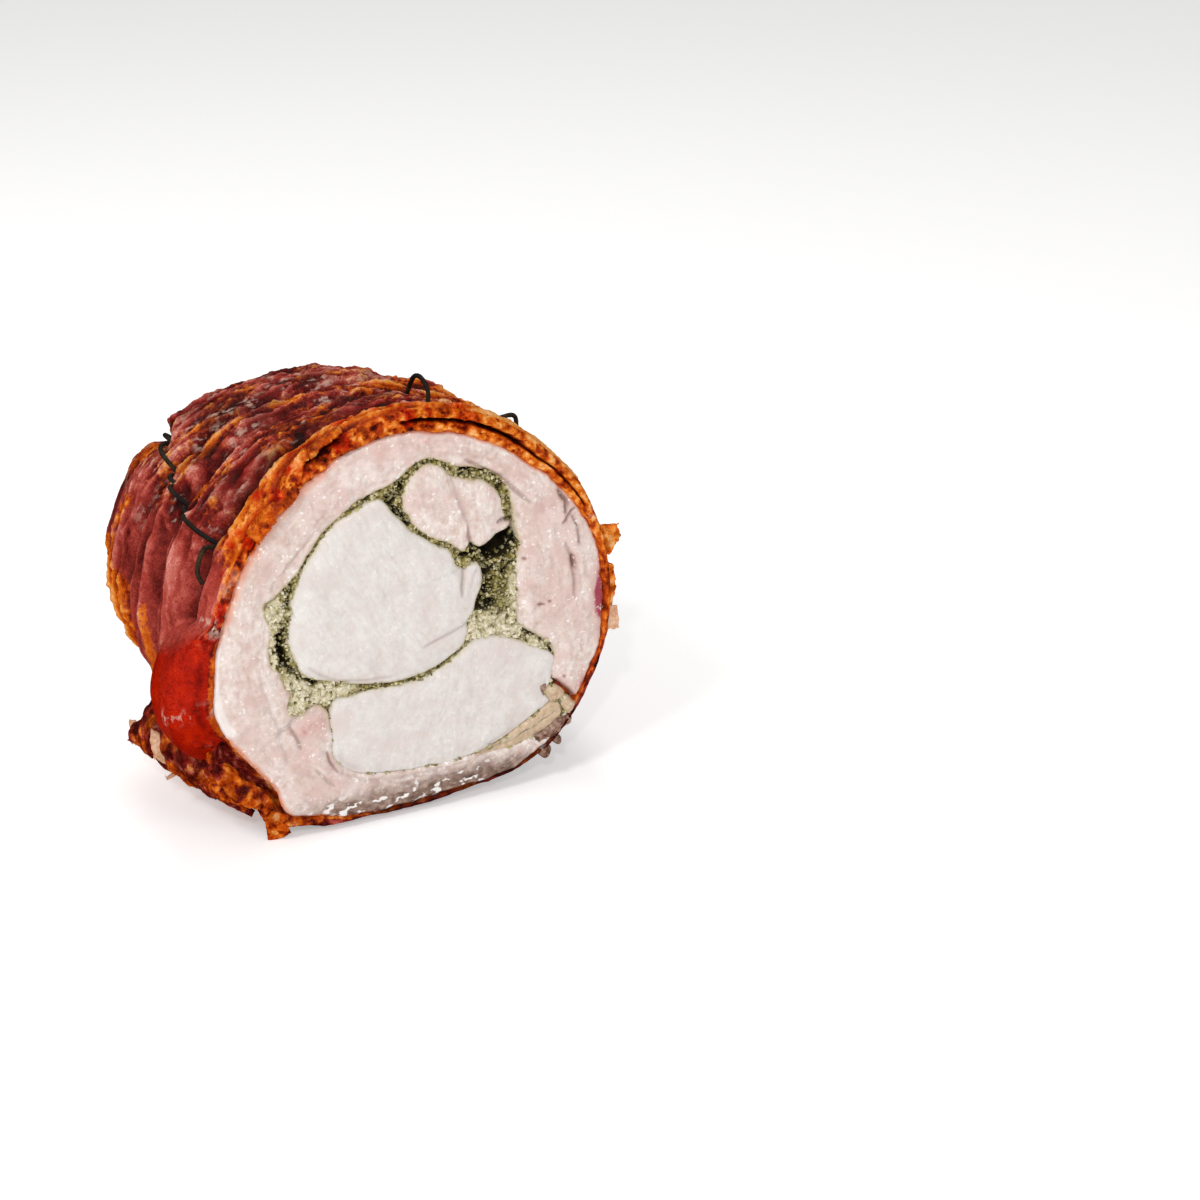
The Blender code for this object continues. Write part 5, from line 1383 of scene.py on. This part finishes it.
scraps = {
    "hipScrap": ((((-67.4, 33.0, 27.6), (-63.8, 28.0, 25.0)), ((-66.6, 32.0, 19.0), (-63.4, 28.0, 18.4))),
                 {"toward": (-1.0, -1.6, 0.3), "crumple": 0.5, "ragged": 0.16, "tear": 2.0,
                  "pieces": (40, 40)}),
    "tailScrap": ((((-68.6, 48.0, 24.6), (-66.2, 45.0, 25.0)), ((-68.4, 46.0, 18.8), (-66.0, 43.0, 19.0))),
                  {"toward": (-0.8, -1.4, 0.3), "crumple": 0.8, "ragged": 0.2, "tear": 1.6,
                   "pieces": (34, 34), "shift": 3.0}),
    "hangingScrap": ((((-55.4, 12.5, 15.6), (-51.4, 9.0, 14.2)), ((-53.6, 12.0, 10.8), (-52.2, 10.6, 10.6))),
                     {"toward": (-0.4, -1.0, 0.1), "crumple": 0.4, "ragged": 0.12, "tear": 1.6,
                      "pieces": (30, 26), "shift": 5.0}),
    "spike": ((((-62.6, 32.0, 13.6), (-60.4, 31.0, 14.0)), ((-63.8, 33.6, 12.0), (-63.4, 33.4, 11.8))),
              {"toward": (-0.1, -0.2, 0.0), "crumple": 0.25, "ragged": 0.1, "tear": 1.6, "pieces": (18, 18),
               "shift": 1.0}),
    "rightScrap": ((((60.4, 1.8, 51.6), (65.0, 1.0, 51.0)), ((60.8, 1.8, 43.6), (65.6, 1.0, 44.2))),
                   {"toward": (0.3, -0.5, 0.0), "crumple": 0.5, "ragged": 0.2, "tear": 1.4,
                    "pieces": (24, 28), "shift": 8.0}),
}


def tornMasks(points, look):
    # colours of a torn flap, from its own amounts of orange and char and from noise
    tone = layeredNoise(points, 2.6, 4, 5.0)
    none = np.zeros_like(tone)
    return {"orange": look["orange"] + 0.5 * layeredNoise(points, 6.0, 2, 9.0), "lobe": none,
            "char": np.clip(look.get("char", 0.0) - 0.45 * layeredNoise(points, 5.0, 3, 14.0), 0.0, 1.0),
            "pale": 0.35 * np.clip(tone - 0.45, 0.0, 1.0), "gloss": none + 0.6, "rosy": none,
            "relief": np.clip(0.55 + look.get("bright", 0.0) + 0.4 * tone, 0.0, 1.0)}


def makeSheets():
    # crumpled flaps, rolled edges and torn flakes of skin, then the pale scraps that cling to them
    bodies, masks = [], []
    for lines, look in sheets.values():
        grid = crumpledSheet(lines, look)
        bodies.append(sheetBody(grid, look.get("thick", 1.1)))
        masks.append({key: np.tile(value.ravel(), 2) for key, value in tornMasks(grid, look).items()})
    for path, radii, look in ropes.values():
        rings = crumpledRope(path, radii, look)
        bodies.append(closedRings(rings))
        masks.append({key: withPoles(value) for key, value in tornMasks(rings, look).items()})
    together = {key: np.concatenate([mask[key] for mask in masks]) for key in masks[0]}
    buildPiece("tornSkin", *joined(bodies), together, skinPaint, "roasted_skin")
    bodies = [sheetBody(crumpledSheet(*scrap), 1.0) for scrap in scraps.values()]
    buildPiece("paleScraps", *joined(bodies), None, scrapPaint, "roasted_skin")


twineLook = {
    "radius": 0.68,
    "lift": 2.1,           # mm from the bottom of the groove to the middle of the twine
    "sides": 18,
    "spacing": 0.45,       # mm between its rings
    "turnsPerMm": 0.32,
}


def smoothPath(points, spacing, closed):
    # a smooth curve through the points, then evenly spaced points on it
    given = np.asarray(points, float)
    if closed:
        a, b, c, d = (np.roll(given, -k, axis=0) for k in (-1, 0, 1, 2))
    else:
        padded = np.vstack([2 * given[0] - given[1], given, 2 * given[-1] - given[-2]])
        a, b, c, d = padded[:-3], padded[1:-2], padded[2:-1], padded[3:]
    t = (np.arange(12) / 12.0)[None, :, None]
    curve = curveBetween(*(values[:, None] for values in (a, b, c, d)), t).reshape(-1, 3)
    curve = np.vstack([curve, given[:1] if closed else given[-1:]])
    length = np.concatenate([[0.0], np.cumsum(np.linalg.norm(np.diff(curve, axis=0), axis=1))])
    count = int(length[-1] / spacing)
    at = np.linspace(0.0, length[-1], count, endpoint=not closed)
    return np.stack([np.interp(at, length, curve[:, k]) for k in range(3)], -1), at


def twineTube(points, closed):
    # a three-ply twist: the radius swells three times round, and the pattern turns along the path
    path, at = smoothPath(points, twineLook["spacing"], closed)
    ahead = np.roll(path, -1, axis=0) - np.roll(path, 1, axis=0)
    if not closed:
        ahead[0], ahead[-1] = path[1] - path[0], path[-1] - path[-2]
    ahead /= np.linalg.norm(ahead, axis=1, keepdims=True)
    rollMiddle = (0.0, 40.0, roll["faceCentre"])
    outward = path - rollMiddle
    side = np.cross(ahead, outward)
    side /= np.linalg.norm(side, axis=1, keepdims=True)
    up = np.cross(side, ahead)
    around = np.linspace(0.0, 2.0 * math.pi, twineLook["sides"], endpoint=False)
    turns = round(at[-1] * twineLook["turnsPerMm"]) / max(at[-1], 1.0) if closed else twineLook["turnsPerMm"]
    phase = 2.0 * math.pi * at[:, None] * turns
    radius = twineLook["radius"] * (0.86 + 0.2 * np.abs(np.cos(1.5 * (around[None] - phase))))
    radius = radius * (1.0 + 0.10 * noise(path, 3.0, 4.0))[:, None]
    rings = path[:, None] + radius[..., None] * (np.cos(around)[None, :, None] * side[:, None]
                                                 + np.sin(around)[None, :, None] * up[:, None])
    if closed:
        return rings.reshape(-1, 3), gridFaces(len(path), twineLook["sides"], closeRows=True), noFaces
    return closedRings(rings)


def clearOfSkin(point):
    # the same point, moved out from the roll's axis until it lies on the skin
    across, back, up = point
    axis = roll["middleHeight"]
    angle = math.degrees(math.atan2(up - axis, across)) % 360.0
    place = back - tieLean(back) * math.cos(math.radians(angle - roll["tieLeanAngle"]))
    skin = outerPoint(angle, place, 0.9)
    size = max(math.hypot(skin[0], skin[2] - axis) / math.hypot(across, up - axis), 1.0)
    return np.array([across * size, back, axis + (up - axis) * size])


def tiePaths():
    # three loops in their grooves, the run that links them with its loose end, and the slack bight
    lift = twineLook["lift"]
    near, middle, far = (tie[0] for tie in roll["ties"])
    loops = []
    for place in (near, middle, far):
        angle = (roll["longTieAngle"] + np.arange(72) * 5.0) % 360.0
        # the near loop goes under the fold on the left and lies on the rim's edge at the right
        under = lobeCover(angle, place) * (place == near)
        onEdge = bell(angle - 52.0, 5.0) * (place == near)
        loops.append((outerPoint(angle, place, lift - 5.0 * under + 8.0 * onEdge), True))
    # the loose end by the knife's cut, then the run over the knots of the three loops
    loose = ((160.8, 9.6, 2.2), (159.6, 9.8, 3.6), (157.8, 9.6, 5.0), (155.6, 9.4, 5.6), (153.6, 10.4, 5.0),
             (152.2, 12.0, 3.0))
    run = [outerPoint(a, p, h, tied=False) for a, p, h in loose]
    knots = [outerPoint(a, p, h) for a, p, h in ((151.0, near, lift + 1.2), (147.4, middle, lift + 1.0),
                                                 (144.0, far, lift + 1.0))]
    for first, last in zip(knots, knots[1:]):
        run += [clearOfSkin(first + (last - first) * t) for t in (0.0, 0.14, 0.28, 0.42, 0.56, 0.70, 0.84)]
    run.append(knots[-1])
    # down the far end and forwards again along the underside
    opposite = roll["longTieAngle"] + 180.0
    run += [outerPoint(143.0 - 0.7 * k, far + 4.2 * k, lift + 0.5) for k in range(1, 4)]
    run += [outerPoint(roll["longTieAngle"], far + 16.0 + 2.4 * k, lift) for k in range(14)]
    run += [outerPoint(opposite, 99.0 - 2.4 * k, lift) for k in range(16)]
    run += [outerPoint(opposite, p, lift + h) for p, h in ((59.0, 0.6), (55.0, 0.8), (far, 0.7))]
    # the slack bight stands up from the near tie and comes down at the middle one
    slack = [outerPoint(74.0, near, lift), outerPoint(76.0, near + 1.0, lift)]
    slack += [(13.1, 15.8, 117.4), (13.8, 17.2, 119.6), (14.0, 19.6, 121.5), (14.2, 23.0, 122.2),
              (14.5, 26.6, 121.5), (15.0, 30.0, 119.4)]
    slack += [outerPoint(a, p, h) for a, p, h in ((73.5, 28.5, 0.8), (72.0, 31.0, 1.0), (70.5, 33.0, lift),
                                                  (69.0, 33.2, lift))]
    return loops + [(np.array(run), False), (np.array(slack), False)]


def makeTwine():
    # all the runs of twine as one piece
    bodies = [twineTube(path, closed) for path, closed in tiePaths()]
    buildPiece("butchersTwine", *joined(bodies), None, twinePaint, "charred_twine", ("tie_twine",))


makeTwine()
makeSheets()
print("pieces ready")


def makeStage():
    # a pale floor, a white surround, a soft lamp on the left, two weaker ones and a small one for the glints
    floorMesh = bpy.data.meshes.new("floor")
    corners = [(-3.0, -2.0, 0.0), (3.0, -2.0, 0.0), (3.0, 4.0, 0.0), (-3.0, 4.0, 0.0)]
    floorMesh.from_pydata(corners, [], [(0, 1, 2, 3)])
    floor = bpy.data.objects.new("floor", floorMesh)
    bpy.context.scene.collection.objects.link(floor)
    paint, tree, shader = newPaint("floorPaint", 0.9, specular=0.1)
    shader.inputs["Base Color"].default_value = hexColour("#F4F3F2")
    shader.inputs["Emission Color"].default_value = (1.0, 1.0, 1.0, 1.0)
    shader.inputs["Emission Strength"].default_value = 0.35
    # the floor is dark in reflections
    dark = addNode(tree, "ShaderNodeEmission", {"Strength": 0.0})
    mix = addNode(tree, "ShaderNodeMixShader")
    tree.links.new(addNode(tree, "ShaderNodeLightPath").outputs["Is Glossy Ray"], mix.inputs[0])
    tree.links.new(shader.outputs[0], mix.inputs[1])
    tree.links.new(dark.outputs[0], mix.inputs[2])
    tree.links.new(mix.outputs[0], tree.nodes["Material Output"].inputs["Surface"])
    floorMesh.materials.append(paint)
    world = bpy.data.worlds.new("studio")
    bpy.context.scene.world = world
    world.use_nodes = True
    background = world.node_tree.nodes["Background"]
    background.inputs["Color"].default_value = (1.0, 1.0, 1.0, 1.0)
    seen = addNode(world.node_tree, "ShaderNodeLightPath").outputs["Is Camera Ray"]
    # the surround lights the roll evenly but is dark in reflections, as in a studio
    mirrored = addNode(world.node_tree, "ShaderNodeLightPath").outputs["Is Glossy Ray"]
    strength = calc(world.node_tree, "ADD", calc(world.node_tree, "MULTIPLY", seen, 0.62), 0.38)
    strength = calc(world.node_tree, "SUBTRACT", strength, calc(world.node_tree, "MULTIPLY", mirrored, 0.34))
    world.node_tree.links.new(strength, background.inputs["Strength"])
    lamps = (("key", (-0.9, -0.55, 1.0), 0.32, 7.0), ("front", (0.2, -1.3, 0.8), 0.45, 3.9),
             ("top", (0.1, 0.5, 1.1), 0.30, 3.2), ("spark", (-0.55, -1.0, 0.75), 0.04, 2.4))
    for name, place, size, power in lamps:
        # an area lamp turned towards the middle of the roll
        light = bpy.data.lights.new(name, "AREA")
        light.size = size
        light.energy = power
        lamp = bpy.data.objects.new(name, light)
        lamp.location = place
        lamp.rotation_euler = (Vector((0.0, 0.0, 0.05)) - Vector(place)).to_track_quat("-Z", "Y").to_euler()
        bpy.context.scene.collection.objects.link(lamp)


def makeCamera():
    # read from the photograph: 29 degrees to the left of the cut, 21.5 degrees above, 0.8 m away
    yaw, rise, distance = math.radians(29.0), math.radians(21.5), 0.8
    metresPerPixel, sensor, pictureSize = 0.00028, 36.0, 1200.0
    focal = distance / metresPerPixel
    forward = Vector((math.sin(yaw) * math.cos(rise), math.cos(yaw) * math.cos(rise), -math.sin(rise)))
    right = forward.cross(Vector((0.0, 0.0, 1.0))).normalized()
    above = right.cross(forward)
    # the middle of the cut lies at pixel (415, 625) of the photograph
    offX, offY = (415.0 - pictureSize / 2.0) / focal, -(625.0 - pictureSize / 2.0) / focal
    cutCentre = Vector(toMetres((0.0, 0.0, roll["faceCentre"])))
    camera = bpy.data.objects.new("camera", bpy.data.cameras.new("camera"))
    camera.data.sensor_width = sensor
    camera.data.lens = sensor * focal / pictureSize
    camera.data.clip_start = 0.05
    camera.location = cutCentre - distance * (forward + offX * right + offY * above)
    camera.rotation_euler = forward.to_track_quat("-Z", "Y").to_euler()
    bpy.context.scene.collection.objects.link(camera)
    bpy.context.scene.camera = camera


makeStage()
makeCamera()
bpy.context.scene.view_settings.view_transform = "Standard"
print("stage ready")
